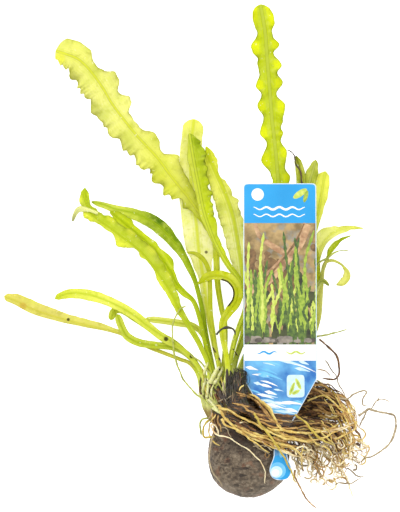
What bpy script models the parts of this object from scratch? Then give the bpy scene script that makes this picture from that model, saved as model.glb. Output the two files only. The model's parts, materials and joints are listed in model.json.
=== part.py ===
"""A water plant with its tuber, roots and plastic label, lying on a surface as picked.

Frame: +X to the right, +Y from the tuber towards the leaf tips, +Z up, origin on the surface
under the tuber, in the middle of its small flat rest face.
All lengths below are in millimetres; make_object turns them into metres.

The leaves and roots are laid one after another, lowest first. A height map of what already
lies there lifts each one clear of the others, as a real leaf lies across those under it.
"""

import bpy
import numpy as np

for old in list(bpy.data.objects):
    bpy.data.objects.remove(old, do_unlink=True)

# Driving dimensions, in millimetres
TUBER_CENTRE = (-0.4, -0.8)
TUBER_HALF_WIDTH = 17.3
TUBER_HEIGHT = 26.0
CROWN_CENTRE = (-9.3, 20.6)
CROWN_HALF_WIDTH = 8.6
CROWN_HEIGHT = 14.5
LABEL_CENTRE_X = 12.5
LABEL_WIDTH = 30.6
LABEL_THICKNESS = 0.6
LABEL_HEIGHT_AT_TUBER = 26.1
LABEL_SLOPE = -0.13
GAP = 0.3
CELL = 0.4

# Colours of the roots
DARK_LOCK = (0.16, 0.08, 0.03)
LOCK = (0.30, 0.17, 0.07)
PALE_LOCK = (0.72, 0.56, 0.32)
YELLOW = (0.66, 0.46, 0.16)
BROWN = (0.42, 0.25, 0.10)

# The height map: the top of what is laid so far, over the area that the plant covers
MAP_LOW = np.array((-112.0, -36.0))
MAP_CELLS = (476, 590)
tops = np.full(MAP_CELLS, -GAP)


def map_cells(x, y):
    """The height map cells that hold these points."""
    i = np.clip(((x - MAP_LOW[0]) / CELL).astype(int), 0, MAP_CELLS[0] - 1)
    j = np.clip(((y - MAP_LOW[1]) / CELL).astype(int), 0, MAP_CELLS[1] - 1)
    return i, j


def stamp(rings):
    """Raises the height map to the skin between these rings of points."""
    closed = np.concatenate([rings, rings[:, :1]], axis=1)
    for first, second in zip(closed[:-1], closed[1:]):
        reach = max(
            np.linalg.norm(second - first, axis=1).max(),
            np.linalg.norm(np.diff(first, axis=0), axis=1).max(),
            np.linalg.norm(np.diff(second, axis=0), axis=1).max(),
        )
        steps = int(reach / (0.6 * CELL)) + 2
        u = np.linspace(0, 1, steps)[:, None, None]
        rows = first * (1 - u) + second * u
        v = np.linspace(0, 1, steps)[None, :, None, None]
        points = rows[:, None, :-1] * (1 - v) + rows[:, None, 1:] * v
        points = points.reshape(-1, 3)
        np.maximum.at(tops, map_cells(points[:, 0], points[:, 1]), points[:, 2])


def make_object(name, rings, colour, roughness=0.5):
    """One closed mesh through the rings, with a cap on each end.

    The diagonals of the underside lie below those of the top, so that a thin ruffled blade
    keeps its thickness.
    """
    rings = np.asarray(rings, float)
    count, around = rings.shape[:2]
    faces = []
    for k in range(count - 1):
        for m in range(around):
            n = (m + 1) % around
            a, b = k * around + m, k * around + n
            c, d = (k + 1) * around + n, (k + 1) * around + m
            if m < around / 2:
                faces += [(a, c, b), (a, d, c)]
            else:
                faces += [(a, d, b), (b, d, c)]
    faces.append(tuple(range(around)))
    faces.append(tuple(reversed(range((count - 1) * around, count * around))))
    mesh = bpy.data.meshes.new(name)
    mesh.from_pydata((rings.reshape(-1, 3) * 0.001).tolist(), [], faces)
    obj = bpy.data.objects.new(name, mesh)
    bpy.context.scene.collection.objects.link(obj)
    material = bpy.data.materials.new(name)
    material.use_nodes = True
    shader = material.node_tree.nodes["Principled BSDF"]
    shader.inputs["Base Color"].default_value = (*colour, 1.0)
    shader.inputs["Roughness"].default_value = roughness
    mesh.materials.append(material)
    return obj


def smooth_route(points, step):
    """Points about one step apart on a smooth curve through the given ones, with tangents.

    step is one length, or a list of (share of the way, length) pairs.
    """
    p = np.asarray(points, float)
    p = np.vstack([2 * p[0] - p[1], p, 2 * p[-1] - p[-2]])
    t = np.linspace(0, 1, 24, endpoint=False)[:, None]
    fine = []
    for a, b, c, d in zip(p[:-3], p[1:-2], p[2:-1], p[3:]):
        curve = 2 * b + (c - a) * t + (2 * a - 5 * b + 4 * c - d) * t**2
        fine.append(0.5 * (curve + (3 * b - a - 3 * c + d) * t**3))
    fine = np.vstack(fine + [p[-2][None]])
    along = np.concatenate([[0], np.cumsum(np.linalg.norm(np.diff(fine, axis=0), axis=1))])
    length = along[-1]
    if np.isscalar(step):
        step = [(0, step), (1, step)]
    shares, steps = np.transpose(step)
    wanted = [0.0]
    while wanted[-1] < length:
        wanted.append(wanted[-1] + np.interp(wanted[-1] / length, shares, steps))
    wanted = np.array(wanted) * length / wanted[-1]
    at = np.column_stack([np.interp(wanted, along, fine[:, k]) for k in range(2)])
    tangent = np.gradient(at, axis=0)
    tangent /= np.linalg.norm(tangent, axis=1)[:, None]
    return at, tangent, wanted, length


def clear_height(at, normal, left, right, lift_left, lift_right, thick, flat):
    """The lowest height of each station's middle that keeps the piece above the height map."""
    count = len(at)
    need = np.zeros(count)
    across = np.linspace(-1, 1, 2 * int(max(left.max(), right.max()) / 0.3) + 5)
    for k in range(count - 1):
        steps = int(np.linalg.norm(at[k + 1] - at[k]) / 0.3) + 2
        u = np.linspace(0, 1, steps)[:, None]

        def between(values):
            return values[k] * (1 - u) + values[k + 1] * u

        half = np.where(across < 0, between(right), between(left))
        lift = np.where(across < 0, between(lift_right), between(lift_left))
        o = np.abs(across)[None]
        reach = np.sign(across)[None] * (o * half + (o > 0.99) * 0.5)
        x = between(at[:, :1]) + reach * between(normal[:, :1])
        y = between(at[:, 1:]) + reach * between(normal[:, 1:])
        if flat:
            under = 0 * o - 0.5 * between(thick)
        else:
            under = lift * o - 0.5 * between(thick) * (1 - o)
        low = (tops[map_cells(x, y)] + GAP - under).max()
        need[k] = max(need[k], low)
        need[k + 1] = max(need[k + 1], low)
    return need


def lay(at, normal, left, right, lift_left, lift_right, thick, wanted_z, flat=False, ease=2):
    """Heights of the stations: the wanted ones, raised smoothly where something lies under."""
    need = clear_height(at, normal, left, right, lift_left, lift_right, thick, flat)
    raised = np.maximum(need - wanted_z, 0)
    padded = np.pad(raised, ease, mode="edge")
    widest = np.array([padded[k : k + 2 * ease + 1].max() for k in range(len(raised))])
    padded = np.pad(widest, ease, mode="edge")
    eased = np.array([padded[k : k + 2 * ease + 1].mean() for k in range(len(raised))])
    return wanted_z + np.maximum(eased, raised)


def crown_seat(across, out=1.0):
    """The place just outside the crown's end, at this share of its half width."""
    along = np.array(CROWN_CENTRE) - np.array(TUBER_CENTRE)
    along /= np.linalg.norm(along)
    side = np.array((along[1], -along[0]))
    return np.array(CROWN_CENTRE) + side * across * CROWN_HALF_WIDTH + along * out


def edge(to_tip, knots, rounding):
    """Half widths at these distances from the tip: smooth from knot to knot, round at the tip."""
    places, halves = np.transpose(knots)
    k = np.clip(np.searchsorted(places, to_tip, side="right") - 1, 0, len(places) - 2)
    t = np.clip((to_tip - places[k]) / (places[k + 1] - places[k]), 0, 1)
    half = halves[k] + (halves[k + 1] - halves[k]) * t * t * (3 - 2 * t)
    inwards = 1 - np.clip(to_tip / rounding, 0, 1)
    return half * np.maximum(np.sqrt(1 - inwards**2), 0.3)


def ruffle_of(to_tip, knots, half, ruffle):
    """How far the edge is lifted: each lobe the other way, none near the tip or on a stalk."""
    lobes = [b[0] for a, b, c in zip(knots[:-2], knots[1:-1], knots[2:]) if a[1] < b[1] >= c[1]]
    lobes = np.array([lobes[0] - 8] + lobes + [lobes[-1] + 8])
    phase = np.interp(to_tip, lobes, np.pi * np.arange(len(lobes)))
    size = np.clip((half - 1.5) / 2.5, 0, 1) * np.clip(to_tip / 4, 0, 1)
    return ruffle * size * np.cos(phase)


def leaf(
    name, seat, route, left, right, rounding, heights, colour, ruffle=0, fold=0, step=4.5
):
    """A blade with its stalk, from the crown to its tip.

    seat is the place across the crown; left and right are the outline, as (distance from the
    tip, half width), and right is None where both sides are alike; rounding is the length of
    the round end; heights are (share of the way, height); ruffle is how far the lobes swing up
    and down; fold lifts both edges.
    """
    points = ([crown_seat(seat)] if seat is not None else []) + list(route)
    at, tangent, s, length = smooth_route(points, step)
    share = s / length
    normal = np.column_stack([-tangent[:, 1], tangent[:, 0]])
    right = right or left
    half_left = edge(length - s, left, rounding)
    half_right = edge(length - s, right, rounding)
    thick = np.interp((half_left + half_right) / 2, [0.4, 1.2, 3.0], [0.5, 1.1, 0.7])
    lift_left = fold * np.clip((half_left - 1.2) / 2, 0, 1)
    lift_right = fold * np.clip((half_right - 1.2) / 2, 0, 1)
    if ruffle:
        lift_left = lift_left + ruffle_of(length - s, left, half_left, ruffle)
        lift_right = lift_right - ruffle_of(length - s, right, half_right, ruffle)
    z = np.interp(share, *np.transpose(heights))
    z = lay(at, normal, half_left, half_right, lift_left, lift_right, thick, z)
    rings = np.empty((len(s), 4, 3))
    rings[:, 0, :2] = at - normal * half_right[:, None]
    rings[:, 1, :2] = at
    rings[:, 2, :2] = at + normal * half_left[:, None]
    rings[:, 3, :2] = at
    rings[:, 0, 2] = z + lift_right
    rings[:, 1, 2] = z + thick / 2
    rings[:, 2, 2] = z + lift_left
    rings[:, 3, 2] = z - thick / 2
    stamp(rings)
    make_object(name, rings, colour, 0.42)


def strand(name, route, radii, heights, colour, sides=5, step=3.6, tall=1.0, roughness=0.6):
    """A root, or a lock of roots, as a tapering tube. tall is its height over its width."""
    at, tangent, s, length = smooth_route(route, step)
    share = s / length
    normal = np.column_stack([-tangent[:, 1], tangent[:, 0]])
    radius = np.interp(share, *np.transpose(radii))
    none = np.zeros(len(s))
    z = np.interp(share, *np.transpose(heights))
    z = lay(at, normal, radius, radius, none, none, 2 * radius * tall, z, flat=True, ease=1)
    angle = 2 * np.pi * (np.arange(sides) + 0.5) / sides
    rings = np.empty((len(s), sides, 3))
    rings[:, :, :2] = at[:, None] - (radius[:, None] * np.cos(angle))[:, :, None] * normal[:, None]
    rings[:, :, 2] = z[:, None] + tall * radius[:, None] * np.sin(angle)
    stamp(rings)
    make_object(name, rings, colour, roughness)


def tuber():
    """The lumpy tuber and the fibrous crown that it narrows into, flat where it rests."""
    start, end = np.array(TUBER_CENTRE), np.array(CROWN_CENTRE)
    length = np.linalg.norm(end - start)
    along = (end - start) / length
    side = np.array((along[1], -along[0]))
    rings = []
    profile = (-16.9, -16.0, -14.2, -11.6, -8.4, -4.8, -1.6, 1.6, 4.8, 8.2, 11.2, 13.4, 15.2, 17.0)
    for t in profile:
        size = np.sqrt(1 - (t / 18.2) ** 2) if t > 0 else np.sqrt(1 - (t / 17.0) ** 2)
        rings.append((t, size * TUBER_HALF_WIDTH, size * TUBER_HEIGHT / 2, TUBER_HEIGHT / 2 - 0.55))
    rings[-1] = (17.0, 8.7, 7.6, 12.9)
    rings.append((19.4, 8.0, 7.0, 13.3))
    rings.append((length - 1.2, CROWN_HALF_WIDTH, CROWN_HEIGHT / 2, 14.0))
    rings.append((length, CROWN_HALF_WIDTH - 1.0, CROWN_HEIGHT / 2 - 1.0, 14.0))
    angle = 2 * np.pi * np.arange(24) / 24
    shape = np.empty((len(rings), 24, 3))
    for k, (t, half, tall, middle) in enumerate(rings):
        lumps = 1 + 0.018 * np.sin(3 * angle + 0.31 * t) + 0.012 * np.sin(7 * angle - 0.5 * t)
        shape[k, :, :2] = start + along * t + np.outer(half * lumps * np.cos(angle), side)
        shape[k, :, 2] = np.maximum(middle + tall * lumps * np.sin(angle), 0)
    # The rest face: a real flat where the tuber stands, a few millimetres across
    for k in range(4, 9):
        low = np.abs(angle - 1.5 * np.pi) < 0.3
        shape[k, low, 2] = 0 if 4 < k < 8 else 0.35
    stamp(shape)
    make_object("tuber", shape, (0.16, 0.10, 0.065), 0.8)


def plant_label():
    """A flat plastic tag: straight sides, a taper, and a thin stake with a rounded end."""
    half = LABEL_WIDTH / 2
    right = [
        (2.6, -9.6),
        (4.1, -8.0),
        (4.6, -5.8),
        (4.0, -3.2),
        (2.8, 0.4),
        (2.7, 11.0),
        (6.4, 16.8),
        (half, 32.3),
        (half, 112.4),
        (half - 0.5, 113.6),
        (half - 1.7, 114.1),
    ]
    outline = [(LABEL_CENTRE_X - x, y) for x, y in right]
    outline += [(LABEL_CENTRE_X + x, y) for x, y in reversed(right)]
    rings = np.empty((2, len(outline), 3))
    for k in range(2):
        for m, (x, y) in enumerate(outline):
            z = LABEL_HEIGHT_AT_TUBER + LABEL_SLOPE * y + k * LABEL_THICKNESS
            rings[k, m] = (x, y, z)
    stamp(rings)
    make_object("plant_label", rings, (0.06, 0.36, 0.80), 0.25)
    # The map needs the inside of the plate too, which the rings don't cross
    for y in np.arange(-9, 114, 0.3):
        inside = np.interp(y, [p[1] for p in right], [p[0] for p in right])
        x = LABEL_CENTRE_X + np.arange(-inside, inside, 0.3)
        z = LABEL_HEIGHT_AT_TUBER + LABEL_SLOPE * y + LABEL_THICKNESS
        np.maximum.at(tops, map_cells(x, y + 0 * x), z)


tuber()

# Locks of roots under the label's stake, lowest first
strand(
    "lock_under",
    [(3, 22), (10, 22.5), (20, 20), (29, 18.5), (37, 16.5), (44, 13.5)],
    [(0, 2.4), (0.3, 5.6), (0.75, 6.2), (0.95, 3.6), (1, 1.2)],
    [(0, 5), (0.4, 2.5), (1, 2)],
    DARK_LOCK,
    sides=8,
    step=4.5,
    tall=0.32,
)
strand(
    "lock_upper",
    [(-1, 24.5), (6, 25.2), (16, 26), (27, 26), (36, 22), (42, 16.5), (45.5, 9)],
    [(0, 1.6), (0.3, 3.6), (0.6, 4.4), (0.78, 4), (0.95, 2.2), (1, 0.6)],
    [(0, 7), (0.4, 4), (1, 3)],
    LOCK,
    sides=8,
    step=4.5,
    tall=0.36,
)
strand(
    "lock_fringe_left",
    [(19.2, 11.5), (19.6, 6), (19.9, 0), (20.4, -5), (21.2, -10)],
    [(0, 1.3), (0.3, 1.8), (0.5, 2.1), (0.8, 2.1), (1, 0.8)],
    [(0, 6), (0.5, 3), (1, 1)],
    PALE_LOCK,
    sides=6,
    step=4.0,
    tall=0.5,
)
strand(
    "lock_fringe_mid",
    [(24.2, 12), (25.6, 6), (26.7, 0), (28, -6), (29.5, -13)],
    [(0, 2.2), (0.25, 3.4), (0.5, 3.8), (0.8, 3.4), (1, 1.2)],
    [(0, 7), (0.5, 3.5), (1, 1)],
    PALE_LOCK,
    sides=6,
    step=4.0,
    tall=0.45,
)
strand(
    "lock_fringe_right",
    [(31.6, 13), (33.8, 6), (35.6, 0), (37.4, -5.5), (39.6, -10.5)],
    [(0, 2.8), (0.3, 3.9), (0.55, 4.2), (0.8, 3.8), (1, 1.4)],
    [(0, 6), (0.5, 3), (1, 1)],
    PALE_LOCK,
    sides=6,
    step=4.0,
    tall=0.45,
)
strand(
    "lock_fringe_far",
    [(40.4, 13), (42.5, 7), (44.6, 1), (46.6, -5)],
    [(0, 2.4), (0.35, 3.2), (0.7, 3.6), (0.85, 3), (1, 1)],
    [(0, 5), (0.5, 3), (1, 1)],
    PALE_LOCK,
    sides=6,
    step=4.0,
    tall=0.5,
)
strand(
    "lock_middle",
    [(3.5, 20.3), (9, 18.6), (15.5, 15.5), (21, 13.2), (28, 11.6), (35, 9), (40, 4), (42, -2)],
    [(0, 1.2), (0.3, 2.6), (0.7, 3.8), (0.95, 2), (1, 0.5)],
    [(0, 8), (0.4, 6), (1, 4)],
    LOCK,
    sides=8,
    step=4.0,
    tall=0.36,
)

# Leaves that lie lowest, left of the crown
leaf(
    "leaf_far_left",
    -0.97,
    [(-21, 32), (-25, 38), (-29.5, 40), (-36, 42.5), (-42.5, 45), (-48.5, 48), (-55, 51),
     (-63, 53), (-73.5, 55.5), (-84, 58.5), (-92.5, 61.5), (-98.5, 64.5), (-103.8, 66.6)],
    [(0, 1.4), (2, 1.7), (15, 2), (25, 1.6), (35, 1.1), (45, 0.7), (53, 0.8), (91, 0.8)],
    [(0, 1.4), (2, 2), (5, 3), (12, 3.6), (20, 3.2), (30, 2.6), (42, 2.4), (50, 1.4), (56, 0.9),
     (91, 0.8)],
    1.6,
    [(0, 7), (0.25, 4), (0.6, 2), (0.8, 2.6), (1, 0.8)],
    (0.78, 0.80, 0.22),
)
leaf(
    "leaf_small_tip",
    -0.7,
    [(-19.5, 31), (-25, 40.5), (-32, 47.5), (-42, 52.5), (-48.5, 57), (-53.5, 60.5), (-57, 60.5),
     (-59, 56.5)],
    [(0, 1.2), (3, 1.6), (8, 1.5), (20, 1), (60, 0.8)],
    None,
    1.3,
    [(0, 6), (0.3, 3), (0.7, 1.5), (1, 0.8)],
    (0.62, 0.70, 0.14),
)
leaf(
    "leaf_pale_strip",
    -0.42,
    [(-16, 33), (-17.5, 44), (-20, 50.5), (-24, 54), (-31.5, 55.5), (-39, 56.5), (-44, 57)],
    [(0, 0.9), (4, 1.4), (16, 1.5), (28, 1), (60, 0.8)],
    None,
    1,
    [(0, 5), (0.3, 3), (0.7, 1.5), (1, 1)],
    (0.80, 0.84, 0.35),
)
leaf(
    "leaf_stub",
    -0.82,
    [(-20, 31), (-23, 38.5), (-27.5, 43), (-33, 45.2), (-40, 46), (-46.5, 47), (-51.5, 49.5),
     (-54, 53.5), (-56, 59)],
    [(0, 1.1), (3, 1.6), (14, 1.7), (30, 1.4), (60, 1.1)],
    None,
    1.2,
    [(0, 8), (0.3, 5), (0.7, 3), (1, 2)],
    (0.52, 0.60, 0.06),
)
leaf(
    "leaf_low_arch",
    -0.6,
    [(-18, 30), (-22, 37.5), (-27.5, 43.5), (-33.5, 48), (-38.5, 51), (-43.5, 54.5), (-50, 59.5),
     (-58.5, 64), (-66.5, 67), (-73, 68), (-78, 67.5), (-82.5, 65.5)],
    [(0, 0.6), (2, 1.4), (5, 2.1), (15, 2.6), (25, 2), (45, 1.8), (54, 2.4), (60, 1.2), (80, 0.9)],
    [(0, 0.6), (2, 1.4), (8, 1.8), (20, 2.2), (40, 2), (50, 1.3), (60, 1.1), (80, 0.9)],
    1.4,
    [(0, 9), (0.3, 8), (0.6, 6), (0.85, 5), (1, 1.5)],
    (0.62, 0.72, 0.10),
    fold=0.5,
)

# Leaves that lie behind, from the upper left to the label
leaf(
    "leaf_upright_pale",
    -0.15,
    [(-12.5, 35), (-14.5, 44), (-17, 56.5), (-18.5, 65), (-19.5, 73.5), (-21.5, 86),
     (-22.5, 96.5), (-24, 107), (-25, 119.5), (-24.5, 132.5), (-23.5, 141.5)],
    [(0, 3.8), (4, 4.4), (20, 4.8), (35, 5.6), (47, 6), (54, 5.4), (60, 3.6), (68, 2), (80, 1.3),
     (110, 1)],
    [(0, 4), (5, 4.4), (30, 5), (50, 6), (57, 6.2), (63, 4.4), (70, 2.2), (80, 1.3), (110, 1)],
    3.6,
    [(0, 5), (0.3, 2), (0.6, 1), (1, 0.8)],
    (0.90, 0.92, 0.50),
    fold=0.4,
)
leaf(
    "leaf_broad_pale",
    -0.4,
    [(-11.5, 34), (-10.5, 44), (-10.5, 54.5), (-12, 62), (-13.5, 71.5), (-14, 81), (-14.5, 89.5),
     (-19, 98), (-25, 107), (-33, 117), (-38.5, 124.5), (-43.5, 130), (-49, 136), (-57.5, 147),
     (-62, 154.5), (-67, 161.5), (-72, 166.5), (-77, 168.7), (-82, 170.4)],
    [(0, 3.4), (2, 4.4), (6, 5.6), (10, 6.6), (14, 8.6), (17.6, 7.6), (21, 8.6), (25, 8.6),
     (27, 7.4), (34.6, 9.2), (38.6, 7.8), (43, 8.9), (47.6, 7.2), (51.6, 8), (57.6, 7),
     (61.6, 8.8), (66.6, 5.8), (70.6, 7.5), (73.6, 5.4), (77.6, 7), (81, 5.4), (84.6, 3),
     (88, 3.9), (92, 2.2), (97, 1.5), (160, 1)],
    [(0, 4.4), (3.6, 6.6), (6.6, 6.9), (11.6, 6.2), (15.6, 3.5), (18, 3.4), (20.5, 4.6),
     (23.6, 8.1), (26, 8), (31, 4.9), (36.6, 7.8), (38, 7.4), (41.6, 3.5), (47, 3.2),
     (50.6, 3.5), (55.6, 6.4), (58, 5.8), (63.6, 3), (68.4, 7.6), (72, 6), (78, 5), (86, 3.6),
     (93, 2), (98, 1.4), (160, 1)],
    4,
    [(0, 7), (0.25, 4), (0.5, 2), (0.8, 2), (1, 2)],
    (0.78, 0.86, 0.20),
    ruffle=1.5,
    step=[(0, 5), (0.38, 4), (0.42, 2.4), (1, 2.4)],
)
leaf(
    "leaf_mid_pale",
    0.12,
    [(-6, 40), (-2.5, 52.5), (-1.5, 65), (-3, 75.5), (-4.5, 86), (-7, 100), (-10.5, 110.5),
     (-14.5, 119.5), (-17, 125.5), (-18.5, 130)],
    [(0, 0.5), (6, 2.6), (12, 4.2), (20, 5.4), (30, 6), (42, 5), (52, 4), (60, 2.4), (68, 1.4),
     (93, 1)],
    [(0, 0.6), (3, 2), (6, 2.6), (9, 2.3), (12, 1), (14, 0.9), (18, 2.5), (21, 2.8), (23, 2.5),
     (26, 4), (30, 3.2), (34, 4.2), (40, 3.6), (46, 4), (54, 3.4), (60, 2), (68, 1.3), (93, 1)],
    1,
    [(0, 5), (0.3, 3), (0.6, 1.5), (1, 1.5)],
    (0.84, 0.89, 0.30),
    ruffle=1,
    step=[(0, 5), (0.3, 4), (0.36, 2.4), (1, 2.4)],
)
leaf(
    "leaf_arched",
    -0.62,
    [(-15.5, 35.5), (-18, 48.5), (-20, 61), (-22.5, 71.5), (-25, 78.5), (-28.5, 85.5), (-33, 91),
     (-38, 96), (-43.5, 99.5), (-49.5, 102), (-56.5, 103.5), (-62, 105.5), (-67, 106.5)],
    [(0, 0.6), (4, 1.6), (12, 1.9), (20, 2.9), (30, 3.2), (40, 2.8), (50, 2), (60, 1.1),
     (97, 0.9)],
    [(0, 0.6), (4, 0.9), (12, 1.6), (20, 1.9), (26, 2.9), (34, 2.9), (40, 2), (48, 1), (60, 0.9),
     (97, 0.9)],
    1.4,
    [(0, 9), (0.4, 6), (0.7, 5), (1, 2)],
    (0.45, 0.55, 0.05),
    fold=0.8,
)
leaf(
    "leaf_ruffled_behind",
    -0.3,
    [(-15.5, 35), (-18.5, 46), (-21, 57.5), (-23.5, 64.5), (-27.5, 68.5), (-31, 72.5),
     (-33.5, 77.5), (-37.5, 83.5), (-42, 88.5), (-48, 93.5), (-54, 98.5), (-59, 102.5)],
    [(0, 0.8), (6, 2), (12, 2.6), (20, 3), (30, 3), (38, 2.6), (46, 2), (52, 1.2), (83, 0.9)],
    [(0, 0.8), (4, 2.4), (9, 3), (12, 2), (20, 2), (23, 2.4), (26, 1.9), (30, 3), (33, 3.4),
     (37, 1.4), (44, 0.8), (83, 0.8)],
    1.2,
    [(0, 10), (0.4, 7), (0.7, 5), (1, 3)],
    (0.58, 0.68, 0.08),
    ruffle=0.8,
    step=[(0, 5), (0.4, 4), (0.45, 2.3), (1, 2.3)],
)
leaf(
    "leaf_ruffled_left",
    -0.8,
    [(-17, 35.5), (-21, 46), (-26, 54.5), (-30, 61.5), (-33.5, 68.5), (-38, 75.5), (-42, 81),
     (-47, 86.5), (-53, 91), (-59, 95.5), (-64, 99), (-68, 103.5), (-69.5, 108), (-69.5, 112.5)],
    [(0, 0.5), (2, 1.6), (5, 2.7), (7.5, 2.2), (11, 3.5), (13, 3.2), (15.5, 1.6), (18, 1.4),
     (21, 1.7), (23.5, 1.3), (28.6, 4.3), (31, 3.3), (35, 0.9), (37, 0.8), (39.6, 1.9),
     (42, 0.8), (47, 0.8), (53, 2.2), (60, 1.9), (67, 1.7), (72, 1.1), (96, 1)],
    [(0, 0.5), (3, 2), (6, 1.8), (8, 1.6), (12, 2.6), (16, 3.2), (20, 4.4), (24, 3.8), (30, 4.7),
     (35, 4.1), (40, 4.9), (46, 4), (52, 4), (60, 2.6), (67, 1.5), (96, 1)],
    1.2,
    [(0, 12), (0.4, 9), (0.7, 7), (1, 5)],
    (0.60, 0.70, 0.10),
    ruffle=1.1,
    step=[(0, 5), (0.3, 4), (0.36, 2.3), (1, 2.3)],
)
leaf(
    "dried_scrap",
    None,
    [(-64, 101.5), (-68, 103), (-71.8, 103.3), (-73.5, 101.5), (-74.8, 98)],
    [(0, 0.5), (3, 0.9), (7, 1.3), (12, 0.7)],
    None,
    0.8,
    [(0, 1.2), (1, 0.8)],
    (0.33, 0.36, 0.18),
    step=3,
)

# Leaves behind the label
leaf(
    "leaf_tall",
    0.38,
    [(-7, 36), (-2, 50.5), (4, 65), (9, 82), (12, 98.5), (12.3, 111.5), (11.5, 122),
     (10.5, 132.5), (9.5, 141), (8.5, 153.5), (7.5, 166), (6.5, 178.5), (4.5, 190)],
    [(0, 3.4), (3, 4), (6, 4.3), (9, 4.1), (12, 3.4), (18, 6.6), (20, 6.2), (23, 4), (25, 4.4),
     (29.5, 3.9), (34.5, 5.9), (38, 3.7), (43, 5.7), (47.5, 3.7), (54.5, 5.9), (58.5, 3.5),
     (66, 6.4), (72, 3), (75, 2.4), (80, 4.4), (85, 3), (92, 4), (100, 3.2), (110, 2),
     (120, 1.3), (157, 1.1)],
    [(0, 3), (3, 4), (6, 4.7), (8.5, 4.6), (12, 3), (14, 3.2), (17.5, 5.6), (21, 2.9),
     (26.5, 5.9), (29.6, 3.7), (33.5, 5.9), (38.5, 2.7), (43.5, 6), (50, 4.6), (53, 3.3),
     (55, 4.1), (58.5, 2.7), (63, 4.7), (70, 3.4), (74, 5.2), (79, 3.4), (84, 4.6), (92, 3.4),
     (100, 3.4), (110, 2), (120, 1.3), (157, 1.1)],
    3.5,
    [(0, 6), (0.3, 3), (0.6, 1.5), (0.85, 2), (1, 1.2)],
    (0.58, 0.68, 0.06),
    ruffle=1.5,
    step=[(0, 5), (0.3, 4), (0.38, 2.2), (1, 2.2)],
)
leaf(
    "leaf_right_pale",
    0.62,
    [(-3, 36), (4, 47), (12.5, 60), (21, 76), (26.5, 92), (29, 102), (30.5, 110.5), (32, 119.5)],
    [(0, 1.4), (2, 3), (6, 3.6), (15, 3.2), (30, 2.2), (45, 1.3), (92, 0.9)],
    [(0, 1.2), (2, 2.2), (6, 2.8), (11, 2.8), (16, 2), (24, 1.4), (92, 0.9)],
    2.4,
    [(0, 4), (0.4, 1.5), (0.8, 1), (1, 0.8)],
    (0.78, 0.86, 0.35),
    fold=0.3,
)
leaf(
    "leaf_right_bend",
    0.88,
    [(-1, 34), (8, 43), (17, 54), (24.5, 69.5), (28, 80), (30, 86.5), (33, 91.5), (37, 94.3),
     (42, 95.7), (48.3, 95.3)],
    [(0, 0.3), (5, 0.7), (10, 1.2), (12, 2.4), (17, 4.6), (24, 3), (40, 1.2), (82, 0.8)],
    [(0, 0.3), (5, 1), (8, 1.8), (15, 1.8), (20, 1.2), (40, 1), (82, 0.8)],
    0.8,
    [(0, 4), (0.4, 1.5), (0.8, 1), (1, 0.8)],
    (0.72, 0.80, 0.22),
    fold=0.3,
)
leaf(
    "leaf_right_olive",
    0.3,
    [(-3, 38), (5, 52), (12, 66), (18.5, 84), (23, 102), (25, 113.5), (26.5, 119), (28, 124.3)],
    [(0, 0.6), (2, 1.6), (6, 2.6), (14, 2.5), (30, 1.8), (50, 1.2), (92, 0.9)],
    None,
    1,
    [(0, 6), (0.4, 3), (0.75, 3), (1, 3)],
    (0.40, 0.50, 0.06),
    fold=0.5,
)
leaf(
    "leaf_right_folded",
    0.1,
    [(-4, 38), (3, 52), (9, 66), (15, 84), (19.5, 102), (21.5, 114.5), (21, 120.5), (19.5, 126)],
    [(0, 0.5), (3, 1.6), (8, 2), (18, 1.7), (35, 1.2), (92, 0.9)],
    None,
    0.8,
    [(0, 7), (0.4, 4), (0.75, 4), (1, 4)],
    (0.50, 0.62, 0.08),
    fold=0.8,
)
leaf(
    "leaf_right_upright",
    0.85,
    [(3, 33), (14, 40), (24, 46), (28, 54), (29, 65), (28.7, 73.5), (28.5, 81), (28, 87.5)],
    [(0, 0.5), (5, 1.2), (16, 1.3), (30, 1), (70, 0.8)],
    None,
    0.8,
    [(0, 5), (0.4, 2), (0.75, 3), (1, 2)],
    (0.46, 0.56, 0.08),
)
leaf(
    "leaf_right_green",
    0.58,
    [(1, 34), (11, 42.5), (21, 52), (26.8, 63), (30, 74.5), (32.5, 82), (35, 86.5), (38.5, 90.2),
     (43, 92.3)],
    [(0, 0.3), (5, 0.9), (8, 1.6), (11, 1.7), (14, 0.7), (76, 0.8)],
    [(0, 0.3), (5, 0.5), (8, 0.9), (12, 0.7), (76, 0.8)],
    0.8,
    [(0, 6), (0.4, 3), (0.75, 3), (1, 2)],
    (0.48, 0.60, 0.06),
)
leaf(
    "leaf_right_curl",
    0.95,
    [(5, 31), (15, 36.5), (24, 44), (28.8, 56), (29.8, 68), (30.6, 76), (31.6, 80.4),
     (34.5, 81.7), (38, 80.4), (41, 77.3), (41.4, 74), (39.5, 71.6), (36.3, 71.3)],
    [(0, 0.3), (4, 0.6), (8, 1), (12, 0.5), (20, 0.7), (35, 1.1), (50, 0.9), (82, 0.8)],
    [(0, 0.4), (2, 2.4), (4, 2.9), (8, 2.3), (11, 1), (13, 0.5), (20, 0.7), (35, 1.1), (50, 0.9),
     (82, 0.8)],
    0.8,
    [(0, 5), (0.4, 3), (0.75, 3), (0.9, 6), (1, 5)],
    (0.66, 0.66, 0.30),
    step=3,
)
leaf(
    "cut_scrap",
    None,
    [(22, 60), (25.5, 63.5), (27.5, 67), (28.5, 70.5), (30, 72.8), (31.5, 72.8), (33.5, 71)],
    [(0, 0.5), (4, 1.1), (9, 0.9), (16, 0.6)],
    None,
    0.8,
    [(0, 8), (1, 8)],
    (0.40, 0.44, 0.12),
    step=3,
)

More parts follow.
